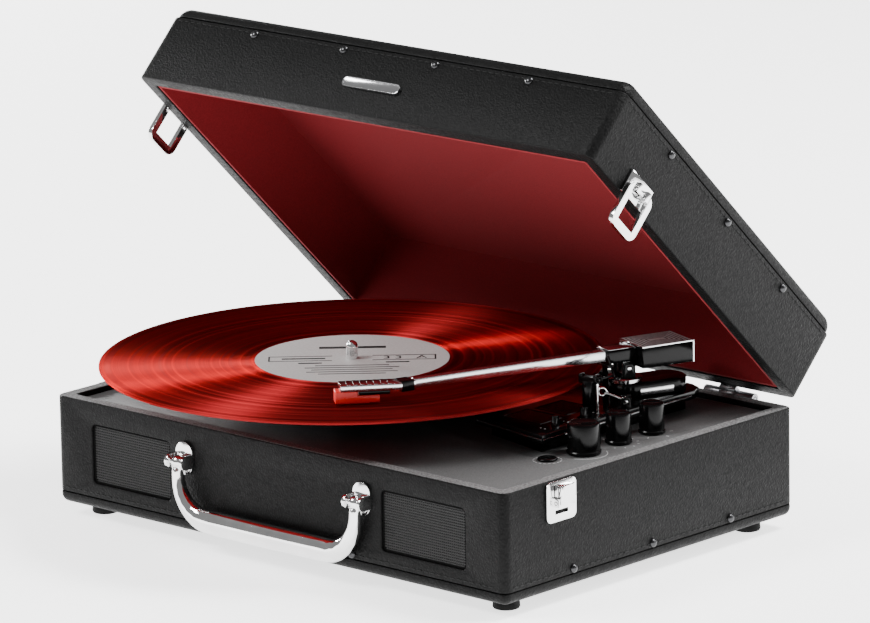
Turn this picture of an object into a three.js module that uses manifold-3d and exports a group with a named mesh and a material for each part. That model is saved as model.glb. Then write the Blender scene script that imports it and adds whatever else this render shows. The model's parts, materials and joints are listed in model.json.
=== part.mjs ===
// Suitcase record player: a leatherette-covered case in two halves, a belt-driven platter, a pivoted tonearm,
// two front speakers, side latches and a chrome bail handle. Millimetres, +Z up, +X to the right along the front
// (speaker) face, +Y towards the hinges. The origin is the centre of the underside of the case.
import * as THREE from 'three';
import { mergeVertices } from 'three/addons/utils/BufferGeometryUtils.js';
import Module from 'manifold-3d';

const wasm = await Module();
wasm.setup();

// ---------------------------------------------------------------- driving dimensions (mm, degrees)
// case
const CASE_W = 362; // left to right
const CASE_D = 255; // front to back
const CORNER_R = 5.5; // upright corners
const WALL = 9; // side walls of both halves
const BOTTOM_T = 7; // bottom panel, and the roll along its lower edge
const BASE_H = 66; // underside to rim
const LID_SIDE_H = 45; // lid side walls
const LID_TOP_T = 9.5; // lid top panel, and the roll along its upper edge
const LID_SKIN = 3; // flat of the lid top panel
const LINING_T = 2; // lid lining
const FIELD_W = 90; // label field in the middle of the underside
const FIELD_D = 50;
const FIELD_GROOVE = 1; // width of the groove round it
const FIELD_DEEP = 0.6;
const GAP = 0.3; // between pieces that touch
const LEDGE_W = 4; // batten under the deck
const LEDGE_H = 3;

// feet
const FOOT_R = 8;
const FOOT_H = 8;
const FOOT_IN_X = 18.5; // foot centre from the side face
const FOOT_IN_Y = 21; // foot centre from the front and back faces

// hinges
const HINGE_X = 127.5; // hinge centre from the middle of the case
const HINGE_W = 38;
const HINGE_BACK = 6; // axis behind the back face
const HINGE_DROP = 2; // axis below the rim
const LEAF_T = 1.5;
const LEAF_H = 18;
const BARREL_R = 3.2;
const PIN_R = 1.2;
const LID_OPEN = 44.5; // stored opening angle

// deck
const DECK_DROP = 3; // deck face below the rim
const DECK_T = 3;

// speakers
const GRILLE_W = 65;
const GRILLE_H = 36;
const GRILLE_X = 118; // grille centre from the middle
const GRILLE_Z = 34.5;
const GRILLE_T = 1.2;
const GRILLE_SINK = 1.5; // below the front face
const GRILLE_R = 3;
const FLANGE_W = 74;
const FLANGE_H = 44;
const CONE_R = 19;

// handle
const HANDLE_X = 71.7; // pivot centres from the middle
const HANDLE_Z = 44.3;
const HANDLE_OUT = 7; // pivot axis in front of the face
const HANDLE_DROP = 32.8; // pivot axis to grip centre
const LEG_R = 3.6; // half width across the bail
const LEG_DEEP = 4.2; // half depth
const GRIP_R = 8;
const GRIP_DEEP = 5.6;
const HANDLE_BEND = 24;
const EYE_R = 4.5;

// latches
const LATCH_Y = -80.5; // latch centre along the side
const LATCH_W = 25;
const LATCH_LIFT = 15; // lid plate height
const CATCH_DROP = 24.5; // base plate height
const LOOP_DROP = 20; // loop end below the rim
const PLATE_T = 1.2;
const LOOP_T = 3; // loop thickness, out from the side
const LOOP_W = 4.5; // loop bar width
const LOOP_R = 6;
const LOOP_X = 3.9; // loop and lever pivots, out from the side

// badge
const BADGE_W = 45;
const BADGE_H = 6.8;
const BADGE_T = 2;
const BADGE_LIFT = 19.6; // above the lid rim

// platter group
const DISC_X = -33.5;
const DISC_Y = -24;
const RECORD_R = 150.8;
const RECORD_T = 1.8;
const LABEL_R = 58;
const MAT_T = 1.6;
const PLATTER_R = 89;
const PLATTER_H = 14;
const PLATTER_WALL = 4;
const PLATTER_LIFT = 10.5; // platter skirt above the deck
const SUB_R = 45; // belt ring under the platter
const SPINDLE_R = 3.6;
const SPINDLE_UP = 11; // above the record
const RUN = 0.3; // running clearance
const BEARING_R = 8.5;

// motor and belt
const MOTOR_OUT = 66; // pulley centre from the platter centre
const MOTOR_DIR = -125; // direction of the pulley from the platter centre
const MOTOR_R = 16;
const MOTOR_H = 22;
const PULLEY_R = 5;
const BELT_T = 0.8;
const BELT_H = 4;

// arm board
const BOARD_X0 = 72;
const BOARD_X1 = 134.5;
const BOARD_Y0 = -43;
const BOARD_Y1 = 104;
const BOARD_H = 12.2; // above the deck gap
const BOARD_T = 5; // plate on top of the plinth
const PLINTH_IN = 7; // plinth set back under the plate
const BOARD_SKEW = 11; // the left end of the front edge lies further back

// tonearm
const ARM_X = 107.4; // swing axis
const ARM_Y = 60.4;
const ARM_HEADING = 19; // stored direction, towards -X from -Y
const ARM_PARK = -12.4; // direction of the rest post
const AXIS_UP = 0.5; // lift axis above the face of the record
const TUBE_UP = 9.3; // tube centre above the face of the record
const TUBE_FRONT = 141; // tube front end from the swing axis
const TUBE_S0 = 6.5; // tube section at the back
const TUBE_S1 = 5.2; // and at the front
const SLEEVE_L0 = -4.4;
const SLEEVE_L1 = 14.3;
const SLEEVE_W = 14;
const SLEEVE_H = 7.5;
const WEIGHT_L = 35;
const WEIGHT_W = 27.7;
const WEIGHT_H = 13;
const SHELL_L = 35;
const SHELL_W = 13;
const SHELL_OFFSET = 21; // headshell angle to the tube
const CHEEK_T = 2;
const CHEEK_GAP = 8.8; // between the yoke cheeks
const TURRET_W = 26;
const TURRET_L = 48;
const TURRET_TURN = 22; // long axis, towards +X from +Y
const TURRET_BACK = 15; // turret centre behind the swing axis
const TURRET_H = 8;

// arm rest
const POST_OUT = 42.9; // from the swing axis
const POST_R = 4;
const POST_UP = 1.5; // foot of the cradle above the face of the record
const CLIP_OPEN = 70; // clip is stored open by this angle

// cue lever
const CUE_OUT = 13; // lift pillar from the swing axis
const CUE_X = 129.5;
const CUE_Y = 36.5;
const CUE_LEN = 15;
const CUE_TILT = 22; // stored rise of the lever
const CUE_TURN = 47; // stored direction, towards -X from -Y

// controls
const KNOB_X = 148;
const KNOB_Y = [-22, 8.5, 38];
const KNOB_R = [9.8, 7.6, 7.6];
const KNOB_H = 18.4;
const SHAFT_R = 3;
const SWITCH_X = 123.5;
const SWITCH_Y = [-19, 6];
const SWITCH_TRAVEL = [[0, 5], [-3, 3]]; // lever travel back and forth from where it is stored
const SWITCH_UP = 5.5;
const JACK_X = 141.5;
const JACK_Y = -46.5;
const JACK_R = 4.3;

// rear sockets
const REAR_X = 70;
const REAR_Z = 32;
const REAR_W = 66;
const REAR_H = 26;

// ---------------------------------------------------------------- derived places
const HW = CASE_W / 2;
const HD = CASE_D / 2;
const DECK_Z = BASE_H - DECK_DROP; // face of the deck
const LID_RIM = BASE_H + GAP;
const LID_SEAM = BASE_H + LID_SIDE_H;
const LID_TOP = LID_SEAM + LID_TOP_T;
const LID_POCKET = LID_TOP - LID_SKIN;
const AXIS_Y = HD + HINGE_BACK;
const AXIS_Z = BASE_H - HINGE_DROP;
const PLATTER_Z0 = DECK_Z + PLATTER_LIFT;
const PLATTER_Z1 = PLATTER_Z0 + PLATTER_H;
const MAT_Z0 = PLATTER_Z1 + GAP;
const MAT_Z1 = MAT_Z0 + MAT_T;
const RECORD_Z0 = MAT_Z1 + GAP;
const RECORD_Z1 = RECORD_Z0 + RECORD_T;
const ARM_AXIS_Z = RECORD_Z1 + AXIS_UP;
const TUBE_Z = RECORD_Z1 + TUBE_UP;
const POST_TOP = RECORD_Z1 + POST_UP;
const BOARD_Z0 = DECK_Z + GAP;
const BOARD_Z1 = BOARD_Z0 + BOARD_H;
const rad = THREE.MathUtils.degToRad;

// ---------------------------------------------------------------- solids
// closed body from a geometry: one vertex per place, no empty triangles, faces outwards
function solid(geometry) {
  let g = geometry.index ? geometry.toNonIndexed() : geometry.clone();
  for (const name of Object.keys(g.attributes)) if (name !== 'position') g.deleteAttribute(name);
  g = mergeVertices(g, 1e-4);
  const p = g.attributes.position.array;
  const idx = Array.from(g.index.array);
  const tri = [];
  for (let i = 0; i < idx.length; i += 3) {
    const [a, b, c] = [idx[i], idx[i + 1], idx[i + 2]];
    if (a !== b && b !== c && a !== c) tri.push(a, b, c);
  }
  let volume = 0;
  for (let i = 0; i < tri.length; i += 3) {
    const [a, b, c] = [tri[i] * 3, tri[i + 1] * 3, tri[i + 2] * 3];
    volume += p[a] * (p[b + 1] * p[c + 2] - p[b + 2] * p[c + 1])
      - p[a + 1] * (p[b] * p[c + 2] - p[b + 2] * p[c])
      + p[a + 2] * (p[b] * p[c + 1] - p[b + 1] * p[c]);
  }
  if (volume < 0) for (let i = 0; i < tri.length; i += 3) [tri[i + 1], tri[i + 2]] = [tri[i + 2], tri[i + 1]];
  return new wasm.Manifold(new wasm.Mesh({
    numProp: 3, vertProperties: new Float32Array(p), triVerts: new Uint32Array(tri),
  }));
}

function box(x0, x1, y0, y1, z0, z1) {
  return solid(new THREE.BoxGeometry(x1 - x0, y1 - y0, z1 - z0)
    .translate((x0 + x1) / 2, (y0 + y1) / 2, (z0 + z1) / 2));
}

function roundRect(w, h, r) {
  const s = new THREE.Shape();
  const a = w / 2;
  const b = h / 2;
  s.moveTo(-a + r, -b);
  s.lineTo(a - r, -b);
  s.absarc(a - r, -b + r, r, -Math.PI / 2, 0);
  s.lineTo(a, b - r);
  s.absarc(a - r, b - r, r, 0, Math.PI / 2);
  s.lineTo(-a + r, b);
  s.absarc(-a + r, b - r, r, Math.PI / 2, Math.PI);
  s.lineTo(-a, -b + r);
  s.absarc(-a + r, -b + r, r, Math.PI, Math.PI * 1.5);
  return s;
}

// upright slab: rounded outline in plan, from z0 to z1
function slab(w, d, r, z0, z1, x = 0, y = 0, seg = 3) {
  return solid(new THREE.ExtrudeGeometry(roundRect(w, d, r), {
    depth: z1 - z0, bevelEnabled: false, curveSegments: seg,
  }).translate(x, y, z0));
}

// plate standing on edge: rounded outline in X and Z, from y0 to y1
function plateXZ(w, h, r, y0, y1, x = 0, z = 0, seg = 3) {
  return solid(new THREE.ExtrudeGeometry(roundRect(w, h, r), {
    depth: y1 - y0, bevelEnabled: false, curveSegments: seg,
  }).rotateX(Math.PI / 2).translate(x, y1, z));
}

// slab whose lower edge is rolled with the slab's own thickness as radius
function rolledSlab(w, d, h, z0) {
  const r = h - 0.2;
  const g = new THREE.ExtrudeGeometry(roundRect(w - 2 * r, d - 2 * r, 1.5), {
    depth: h, bevelEnabled: true, bevelThickness: r, bevelSize: r, bevelSegments: 4, curveSegments: 3,
  }).translate(0, 0, r);
  const whole = solid(g);
  return whole.intersect(box(-w, w, -d, d, -1, h)).translate([0, 0, z0]);
}

function cylZ(r, z0, z1, x = 0, y = 0, seg = 16) {
  return solid(new THREE.CylinderGeometry(r, r, z1 - z0, seg).rotateX(Math.PI / 2)
    .translate(x, y, (z0 + z1) / 2));
}

function cylX(r, x0, x1, y, z, seg = 12) {
  return solid(new THREE.CylinderGeometry(r, r, x1 - x0, seg).rotateZ(Math.PI / 2)
    .translate((x0 + x1) / 2, y, z));
}

function cylY(r, y0, y1, x, z, seg = 12) {
  return solid(new THREE.CylinderGeometry(r, r, y1 - y0, seg).translate(x, (y0 + y1) / 2, z));
}

// body of revolution about Z: profile [radius, height] from axis to axis
function turned(profile, seg = 24, x = 0, y = 0) {
  return solid(new THREE.LatheGeometry(profile.map(([r, z]) => new THREE.Vector2(r, z)), seg)
    .rotateX(Math.PI / 2).translate(x, y, 0));
}

function outline(points, z0, z1) {
  return solid(new THREE.ExtrudeGeometry(new THREE.Shape(points.map(([x, y]) => new THREE.Vector2(x, y))),
    { depth: z1 - z0, bevelEnabled: false }).translate(0, 0, z0));
}

const finish = {
  leatherette: { color: 0x2b2b2c, roughness: 0.75, metalness: 0 },
  deck: { color: 0x3a3b3d, roughness: 0.55, metalness: 0 },
  black: { color: 0x111112, roughness: 0.35, metalness: 0 },
  rubber: { color: 0x141414, roughness: 0.9, metalness: 0 },
  chrome: { color: 0xd8d9dc, roughness: 0.12, metalness: 1 },
  steel: { color: 0x8c8d90, roughness: 0.35, metalness: 1 },
  red: { color: 0x6f1f22, roughness: 0.85, metalness: 0 },
  vinyl: { color: 0x9c1b22, roughness: 0.25, metalness: 0 },
  stylus: { color: 0xe3221c, roughness: 0.4, metalness: 0 },
  silver: { color: 0xb9babd, roughness: 0.3, metalness: 0.9 },
  pcb: { color: 0x1f5a34, roughness: 0.6, metalness: 0 },
};

const object = new THREE.Group();

function piece(name, body, look, group = object) {
  const m = body.getMesh();
  const g = new THREE.BufferGeometry();
  const pos = new Float32Array(m.numVert * 3);
  for (let i = 0; i < m.numVert; i++) {
    for (let k = 0; k < 3; k++) pos[i * 3 + k] = m.vertProperties[i * m.numProp + k];
  }
  g.setAttribute('position', new THREE.BufferAttribute(pos, 3));
  g.setIndex(new THREE.BufferAttribute(new Uint32Array(m.triVerts), 1));
  g.computeVertexNormals();
  const mesh = new THREE.Mesh(g, new THREE.MeshStandardMaterial(finish[look]));
  mesh.name = name;
  group.add(mesh);
  return mesh;
}

// ---------------------------------------------------------------- base half of the case
const innerW = CASE_W - 2 * WALL;
const innerD = CASE_D - 2 * WALL;
const frameZ0 = BOTTOM_T + GAP;
const ledgeTop = DECK_Z - DECK_T - GAP;
let frame = slab(CASE_W, CASE_D, CORNER_R, frameZ0, BASE_H, 0, 0, 4)
  .subtract(slab(innerW, innerD, 2, frameZ0 - 1, BASE_H + 1));
frame = frame.add(slab(innerW + 2, innerD + 2, 2, ledgeTop - LEDGE_H, ledgeTop)
  .subtract(slab(innerW - 2 * LEDGE_W, innerD - 2 * LEDGE_W, 2, frameZ0, BASE_H)));
for (const s of [-1, 1]) {
  frame = frame.subtract(plateXZ(GRILLE_W + 2 * GAP, GRILLE_H + 2 * GAP, GRILLE_R + GAP,
    -HD - 2, -HD + WALL + 1, s * GRILLE_X, GRILLE_Z));
}
frame = frame.subtract(box(REAR_X - REAR_W / 2 + 4, REAR_X + REAR_W / 2 - 4, HD - WALL - 1, HD + 2,
  REAR_Z - REAR_H / 2 + 4, REAR_Z + REAR_H / 2 - 4));
piece('base_frame', frame, 'leatherette');

// bottom panel, with a grooved frame round the label field
const fieldGroove = slab(FIELD_W + 2 * FIELD_GROOVE, FIELD_D + 2 * FIELD_GROOVE, 2, -1, FIELD_DEEP)
  .subtract(slab(FIELD_W, FIELD_D, 1, -2, FIELD_DEEP + 1));
piece('base_bottom_panel', rolledSlab(CASE_W, CASE_D, BOTTOM_T, 0).subtract(fieldGroove), 'leatherette');

for (const [sx, sideName] of [[-1, 'left'], [1, 'right']]) {
  for (const [sy, endName] of [[-1, 'front'], [1, 'back']]) {
    piece(`foot_${endName}_${sideName}`, turned([[0, -FOOT_H], [FOOT_R - 1, -FOOT_H], [FOOT_R, -FOOT_H + 1],
      [FOOT_R, -GAP], [0, -GAP]], 24, sx * (HW - FOOT_IN_X), sy * (HD - FOOT_IN_Y)), 'rubber');
  }
}

// deck panel, dropped inside the rim on its batten
const motorX = DISC_X + MOTOR_OUT * Math.cos(rad(MOTOR_DIR));
const motorY = DISC_Y + MOTOR_OUT * Math.sin(rad(MOTOR_DIR));
let deck = slab(innerW - 2 * GAP, innerD - 2 * GAP, 1.7, DECK_Z - DECK_T, DECK_Z);
deck = deck.subtract(cylZ(BEARING_R + GAP, 0, 100, DISC_X, DISC_Y))
  .subtract(cylZ(JACK_R + GAP, 0, 100, JACK_X, JACK_Y, 16))
  .subtract(cylZ(4, 0, 100, motorX, motorY, 16));
for (const y of KNOB_Y) deck = deck.subtract(cylZ(SHAFT_R + 0.6, 0, 100, KNOB_X, y, 16));
piece('deck_panel', deck, 'deck');

// speakers and their grilles
for (const [s, side] of [[-1, 'left'], [1, 'right']]) {
  const x = s * GRILLE_X;
  const y0 = -HD + GRILLE_SINK;
  const grille = plateXZ(GRILLE_W, GRILLE_H, GRILLE_R, y0, y0 + GRILLE_T, x, GRILLE_Z);
  piece(`speaker_grille_${side}`, grille, 'black');
  const back = -HD + WALL + GAP;
  const cone = turned([[0, 0], [CONE_R, 0], [CONE_R, 2], [8, 15], [12, 15], [12, 24], [0, 24]], 24)
    .rotate([-90, 0, 0]).translate([x, back, GRILLE_Z]);
  const dish = turned([[0, -1], [CONE_R - 2, -1], [CONE_R - 2, 0.4], [5, 11], [0, 9]], 24)
    .rotate([-90, 0, 0]).translate([x, back, GRILLE_Z]);
  const body = plateXZ(FLANGE_W, FLANGE_H, 2, back, back + 2, x, GRILLE_Z).add(cone).subtract(dish);
  piece(`speaker_${side}`, body, 'black');
}

// handle brackets: a plate with two ears and a cross pin
for (const [s, side] of [[-1, 'left'], [1, 'right']]) {
  const x = s * HANDLE_X;
  const py = -HD - HANDLE_OUT;
  const f = -HD - GAP;
  let b = plateXZ(13.5, 20, 6.6, f - 1.5, f, x, HANDLE_Z + 1);
  for (const e of [-1, 1]) {
    b = b.add(cylX(4.4, x + (e > 0 ? 5.2 : -7), x + (e > 0 ? 7 : -5.2), py, HANDLE_Z));
    b = b.add(box(x + (e > 0 ? 5.2 : -7), x + (e > 0 ? 7 : -5.2), py, f - 1, HANDLE_Z - 4.2, HANDLE_Z + 4.2));
  }
  b = b.add(cylX(1.8, x - 6, x + 6, py, HANDLE_Z, 16));
  piece(`handle_bracket_${side}`, b, 'chrome');
}

// base catch plates, with ears for the catch lever
const latchDrop = LOOP_DROP - 5;
for (const [s, side] of [[-1, 'left'], [1, 'right']]) {
  const X = (a, b) => (s > 0 ? [HW + a, HW + b] : [-HW - b, -HW - a]);
  const B = (a, b, y0, y1, z0, z1) => box(...X(a, b), LATCH_Y + y0, LATCH_Y + y1, z0, z1);
  const top = BASE_H - 0.6;
  const low = BASE_H - CATCH_DROP;
  let b = plateXZ(LATCH_W, CATCH_DROP - 0.6, 3.5, 0, PLATE_T).rotate([0, 0, s > 0 ? 90 : -90])
    .translate([s > 0 ? HW + GAP + PLATE_T : -HW - GAP - PLATE_T, LATCH_Y, (low + top) / 2])
    .subtract(B(-1, 5, -5.5, 5.5, low + 4.4, low + 6.8));
  for (const e of [-1, 1]) {
    const [e0, e1] = e > 0 ? [6.3, 7.5] : [-7.5, -6.3];
    b = b.add(B(GAP + PLATE_T - 0.2, 6, e0, e1, BASE_H - latchDrop, BASE_H - latchDrop + 5));
  }
  const [hx] = X(LOOP_X, LOOP_X);
  b = b.subtract(cylY(1.3, LATCH_Y - 9, LATCH_Y + 9, hx, BASE_H - latchDrop + 2.4, 12));
  piece(`catch_plate_${side}`, b, 'chrome');
  const cz = BASE_H - latchDrop;
  let lever = B(2, 6.6, -6, 6, cz + 1.4, cz + 12.5)
    .subtract(B(1, 4.4, -4.5, 4.5, cz + 5, cz + 10.5))
    .add(cylY(0.95, LATCH_Y - 7.4, LATCH_Y + 7.4, hx, cz + 2.4, 12));
  lever = lever.add(B(6, 7.4, -4, 4, cz + 10.5, cz + 12.5));
  piece(`catch_lever_${side}`, lever, 'chrome');
}

// ---------------------------------------------------------------- hinges
function knuckles(spans, x) {
  let b = null;
  for (const [a, c] of spans) {
    const k = cylX(BARREL_R, x + a, x + c, 0, 0);
    b = b ? b.add(k) : k;
  }
  return b;
}
const third = HINGE_W / 6 - 0.15;
const leafIn = -HINGE_BACK + GAP; // leaf face nearest the case, measured from the axis
for (const [s, side] of [[-1, 'left'], [1, 'right']]) {
  const x = s * HINGE_X;
  const spans = [[-HINGE_W / 2, -third - 0.3], [third + 0.3, HINGE_W / 2]];
  let b = knuckles(spans, x);
  for (const [a, c] of spans) b = b.add(box(x + a, x + c, leafIn, 0, -HINGE_DROP - 2, -HINGE_DROP + 0.6));
  b = b.add(box(x - HINGE_W / 2, x + HINGE_W / 2, leafIn, leafIn + LEAF_T,
    -HINGE_DROP - LEAF_H, -HINGE_DROP - 1));
  b = b.subtract(cylX(PIN_R + GAP, x - HINGE_W, x + HINGE_W, 0, 0, 16));
  piece(`hinge_leaf_base_${side}`, b.translate([0, AXIS_Y, AXIS_Z]), 'steel');
  piece(`hinge_pin_${side}`, cylX(PIN_R, x - HINGE_W / 2, x + HINGE_W / 2, AXIS_Y, AXIS_Z, 16), 'steel');
}

// ---------------------------------------------------------------- lid, turned open about the hinge axis
const lid = new THREE.Group();
lid.position.set(0, AXIS_Y, AXIS_Z);
lid.rotation.x = -rad(LID_OPEN);
object.add(lid);
const toLid = (body) => body.translate([0, -AXIS_Y, -AXIS_Z]);

piece('lid_frame', toLid(slab(CASE_W, CASE_D, CORNER_R, LID_RIM, LID_SEAM, 0, 0, 4)
  .subtract(slab(innerW, innerD, 2, LID_RIM - 1, LID_SEAM + 1))), 'leatherette', lid);

const roof = rolledSlab(CASE_W, CASE_D, LID_TOP_T - GAP, 0).rotate([180, 0, 0]).translate([0, 0, LID_TOP]);
const pocket = slab(innerW, innerD, 2, LID_SEAM - 1, LID_POCKET);
piece('lid_top_panel', toLid(roof.subtract(pocket)), 'leatherette', lid);

const liningTop = LID_POCKET - GAP;
piece('lid_lining', toLid(slab(innerW - 2 * GAP, innerD - 2 * GAP, 1.7, LID_RIM + 0.6, liningTop)
  .subtract(slab(innerW - 2 * GAP - 2 * LINING_T, innerD - 2 * GAP - 2 * LINING_T, 1.5,
    LID_RIM - 1, liningTop - 1.2))), 'red', lid);

piece('badge_bar', toLid(plateXZ(BADGE_W, BADGE_H, BADGE_H / 2 - 0.2, -HD - GAP - BADGE_T, -HD - GAP, 0,
  LID_RIM + BADGE_LIFT)), 'silver', lid);

for (const [s, side] of [[-1, 'left'], [1, 'right']]) {
  const x = s * HINGE_X;
  let b = knuckles([[-third, third]], x);
  b = b.add(box(x - third, x + third, leafIn, 0, HINGE_DROP + GAP - 1.8, HINGE_DROP + GAP + 0.9));
  b = b.add(box(x - third, x + third, leafIn, leafIn + LEAF_T, HINGE_DROP - 1.4, HINGE_DROP + 5));
  b = b.add(box(x - HINGE_W / 2, x + HINGE_W / 2, leafIn, leafIn + LEAF_T,
    HINGE_DROP + 2.6, HINGE_DROP + LEAF_H));
  b = b.subtract(cylX(PIN_R + GAP, x - HINGE_W, x + HINGE_W, 0, 0, 16));
  piece(`hinge_leaf_lid_${side}`, b, 'steel', lid);
}

// lid latch plates with two lugs, and the loops that hang from them
for (const [s, side] of [[-1, 'left'], [1, 'right']]) {
  const X = (a, b) => (s > 0 ? [HW + a, HW + b] : [-HW - b, -HW - a]);
  const B = (a, b, y0, y1, z0, z1) => box(...X(a, b), LATCH_Y + y0, LATCH_Y + y1, z0, z1);
  const barZ = LID_RIM + 7.3;
  const half = LATCH_W / 2;
  const [bx] = X(LOOP_X, LOOP_X);
  let b = B(GAP, GAP + PLATE_T, -half + 0.5, half - 0.5, LID_RIM + 0.4, LID_RIM + LATCH_LIFT);
  for (const e of [-1, 1]) {
    const [e0, e1] = e > 0 ? [3.2, 6.4] : [-6.4, -3.2];
    b = b.add(B(GAP + PLATE_T - 0.2, 6.8, e0, e1, barZ - 3, barZ + 3));
  }
  b = b.subtract(cylY(1.9, LATCH_Y - 12, LATCH_Y + 12, bx, barZ, 16));
  piece(`latch_plate_${side}`, toLid(b), 'chrome', lid);
  const loopTop = barZ + 2.2;
  const loopLow = BASE_H - LOOP_DROP;
  const ring = solid(new THREE.ExtrudeGeometry(roundRect(LATCH_W, loopTop - loopLow, LOOP_R), {
    depth: LOOP_T, bevelEnabled: false, curveSegments: 4,
  }).rotateX(Math.PI / 2).rotateZ(Math.PI / 2)
    .translate(bx - LOOP_T / 2, LATCH_Y, (loopTop + loopLow) / 2));
  const hole = B(1, 8, -half + LOOP_W, half - LOOP_W, loopLow + LOOP_W + 0.6, loopTop + 1);
  const bar = cylY(1.5, LATCH_Y - half + LOOP_W / 2, LATCH_Y + half - LOOP_W / 2, bx, barZ);
  piece(`latch_loop_${side}`, toLid(ring.subtract(hole).add(bar)), 'chrome', lid);
}

// ---------------------------------------------------------------- carry handle: a bail with a thicker grip
{
  const top = HANDLE_Z;
  const z = top - HANDLE_DROP;
  const py = -HD - HANDLE_OUT;
  const sides = 12;
  const rings = [];
  const bend = HANDLE_BEND;
  const line = [];
  line.push([-HANDLE_X, top - 3, 0]);
  line.push([-HANDLE_X, z + bend, 0]);
  for (let i = 1; i <= 6; i++) {
    const a = rad(180 + 90 * i / 6);
    line.push([-HANDLE_X + bend + bend * Math.cos(a), z + bend + bend * Math.sin(a), i / 6]);
  }
  const right = line.map(([x, h, k]) => [-x, h, k]).reverse();
  const path = [...line, ...right];
  for (let i = 0; i < path.length; i++) {
    const [x, h, k] = path[i];
    const across = LEG_R + (GRIP_R - LEG_R) * k;
    const deep = LEG_DEEP + (GRIP_DEEP - LEG_DEEP) * k;
    const p = path[Math.max(i - 1, 0)];
    const n = path[Math.min(i + 1, path.length - 1)];
    const t = new THREE.Vector2(n[0] - p[0], n[1] - p[1]).normalize();
    const ring = [];
    for (let j = 0; j < sides; j++) {
      const a = (2 * Math.PI * j) / sides;
      const c = across * Math.cos(a);
      ring.push(new THREE.Vector3(x - t.y * c, py + deep * Math.sin(a), h + t.x * c));
    }
    rings.push(ring);
  }
  const v = [];
  const tri = (a, b, c) => v.push(a.x, a.y, a.z, b.x, b.y, b.z, c.x, c.y, c.z);
  for (let i = 0; i + 1 < rings.length; i++) {
    for (let k = 0; k < sides; k++) {
      const next = (k + 1) % sides;
      tri(rings[i][k], rings[i][next], rings[i + 1][next]);
      tri(rings[i][k], rings[i + 1][next], rings[i + 1][k]);
    }
  }
  for (let k = 1; k + 1 < sides; k++) {
    tri(rings[0][0], rings[0][k + 1], rings[0][k]);
    const e = rings[rings.length - 1];
    tri(e[0], e[k], e[k + 1]);
  }
  const g = new THREE.BufferGeometry();
  g.setAttribute('position', new THREE.BufferAttribute(new Float32Array(v), 3));
  let bail = solid(g);
  for (const s of [-1, 1]) {
    const x = s * HANDLE_X;
    bail = bail.add(cylX(EYE_R, x - 4.7, x + 4.7, py, top)).subtract(cylX(2.2, x - 9, x + 9, py, top, 16));
  }
  piece('carry_handle', bail, 'chrome');
}

// ---------------------------------------------------------------- platter, record, bearing, motor and belt
const subZ0 = PLATTER_Z0 + 2;
const topPlate = PLATTER_Z1 - PLATTER_WALL;
const boreR = SPINDLE_R + RUN;
const hubR = 9;
const rimIn = PLATTER_R - PLATTER_WALL;
piece('platter', turned([[boreR, PLATTER_Z0], [hubR, PLATTER_Z0], [hubR, topPlate], [SUB_R - 3, topPlate],
  [SUB_R - 3, subZ0], [SUB_R, subZ0], [SUB_R, topPlate], [rimIn, topPlate], [rimIn, PLATTER_Z0],
  [PLATTER_R, PLATTER_Z0], [PLATTER_R, PLATTER_Z1 - 1], [PLATTER_R - 1, PLATTER_Z1], [boreR, PLATTER_Z1],
  [boreR, PLATTER_Z0]], 32, DISC_X, DISC_Y), 'black');
const matR = PLATTER_R - 1;
piece('slip_mat', turned([[boreR, MAT_Z0], [matR, MAT_Z0], [matR, MAT_Z1], [boreR, MAT_Z1], [boreR, MAT_Z0]],
  32, DISC_X, DISC_Y), 'rubber');
const holeR = SPINDLE_R + 0.1;
piece('record', turned([[holeR, RECORD_Z0], [RECORD_R, RECORD_Z0], [RECORD_R, RECORD_Z1], [holeR, RECORD_Z1],
  [holeR, RECORD_Z0]], 64, DISC_X, DISC_Y), 'vinyl');
const spindleLow = DECK_Z - 14;
const spindleTop = RECORD_Z1 + SPINDLE_UP;
piece('spindle', turned([[0, spindleLow], [SPINDLE_R, spindleLow], [SPINDLE_R, spindleTop - 3],
  [SPINDLE_R * 0.8, spindleTop - 1], [SPINDLE_R * 0.35, spindleTop], [0, spindleTop]],
20, DISC_X, DISC_Y), 'steel');
const flangeR = 14;
piece('bearing_housing', turned([[0, spindleLow - 5], [BEARING_R, spindleLow - 5], [BEARING_R, DECK_Z + GAP],
  [flangeR, DECK_Z + GAP], [flangeR, DECK_Z + 2.5], [BEARING_R, DECK_Z + 2.5], [BEARING_R, PLATTER_Z0 - 1],
  [boreR, PLATTER_Z0 - 1], [boreR, spindleLow - 1], [0, spindleLow - 1]], 20, DISC_X, DISC_Y), 'steel');

const motorTop = DECK_Z - DECK_T - GAP;
const pulleyZ0 = subZ0 + 0.5;
piece('motor', turned([[0, motorTop - MOTOR_H], [MOTOR_R, motorTop - MOTOR_H], [MOTOR_R, motorTop],
  [2, motorTop], [2, motorTop - 8], [0, motorTop - 8]], 24, motorX, motorY), 'steel');
const lipR = PULLEY_R + 1;
const pulleyZ1 = pulleyZ0 + BELT_H + 2.5;
piece('motor_pulley', turned([[0, motorTop - 7], [1.5, motorTop - 7], [1.5, pulleyZ0], [lipR, pulleyZ0],
  [lipR, pulleyZ0 + 0.6], [PULLEY_R, pulleyZ0 + 0.9], [PULLEY_R, pulleyZ1 - 0.8], [lipR, pulleyZ1 - 0.5],
  [lipR, pulleyZ1], [0, pulleyZ1]], 20, motorX, motorY), 'steel');

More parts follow.
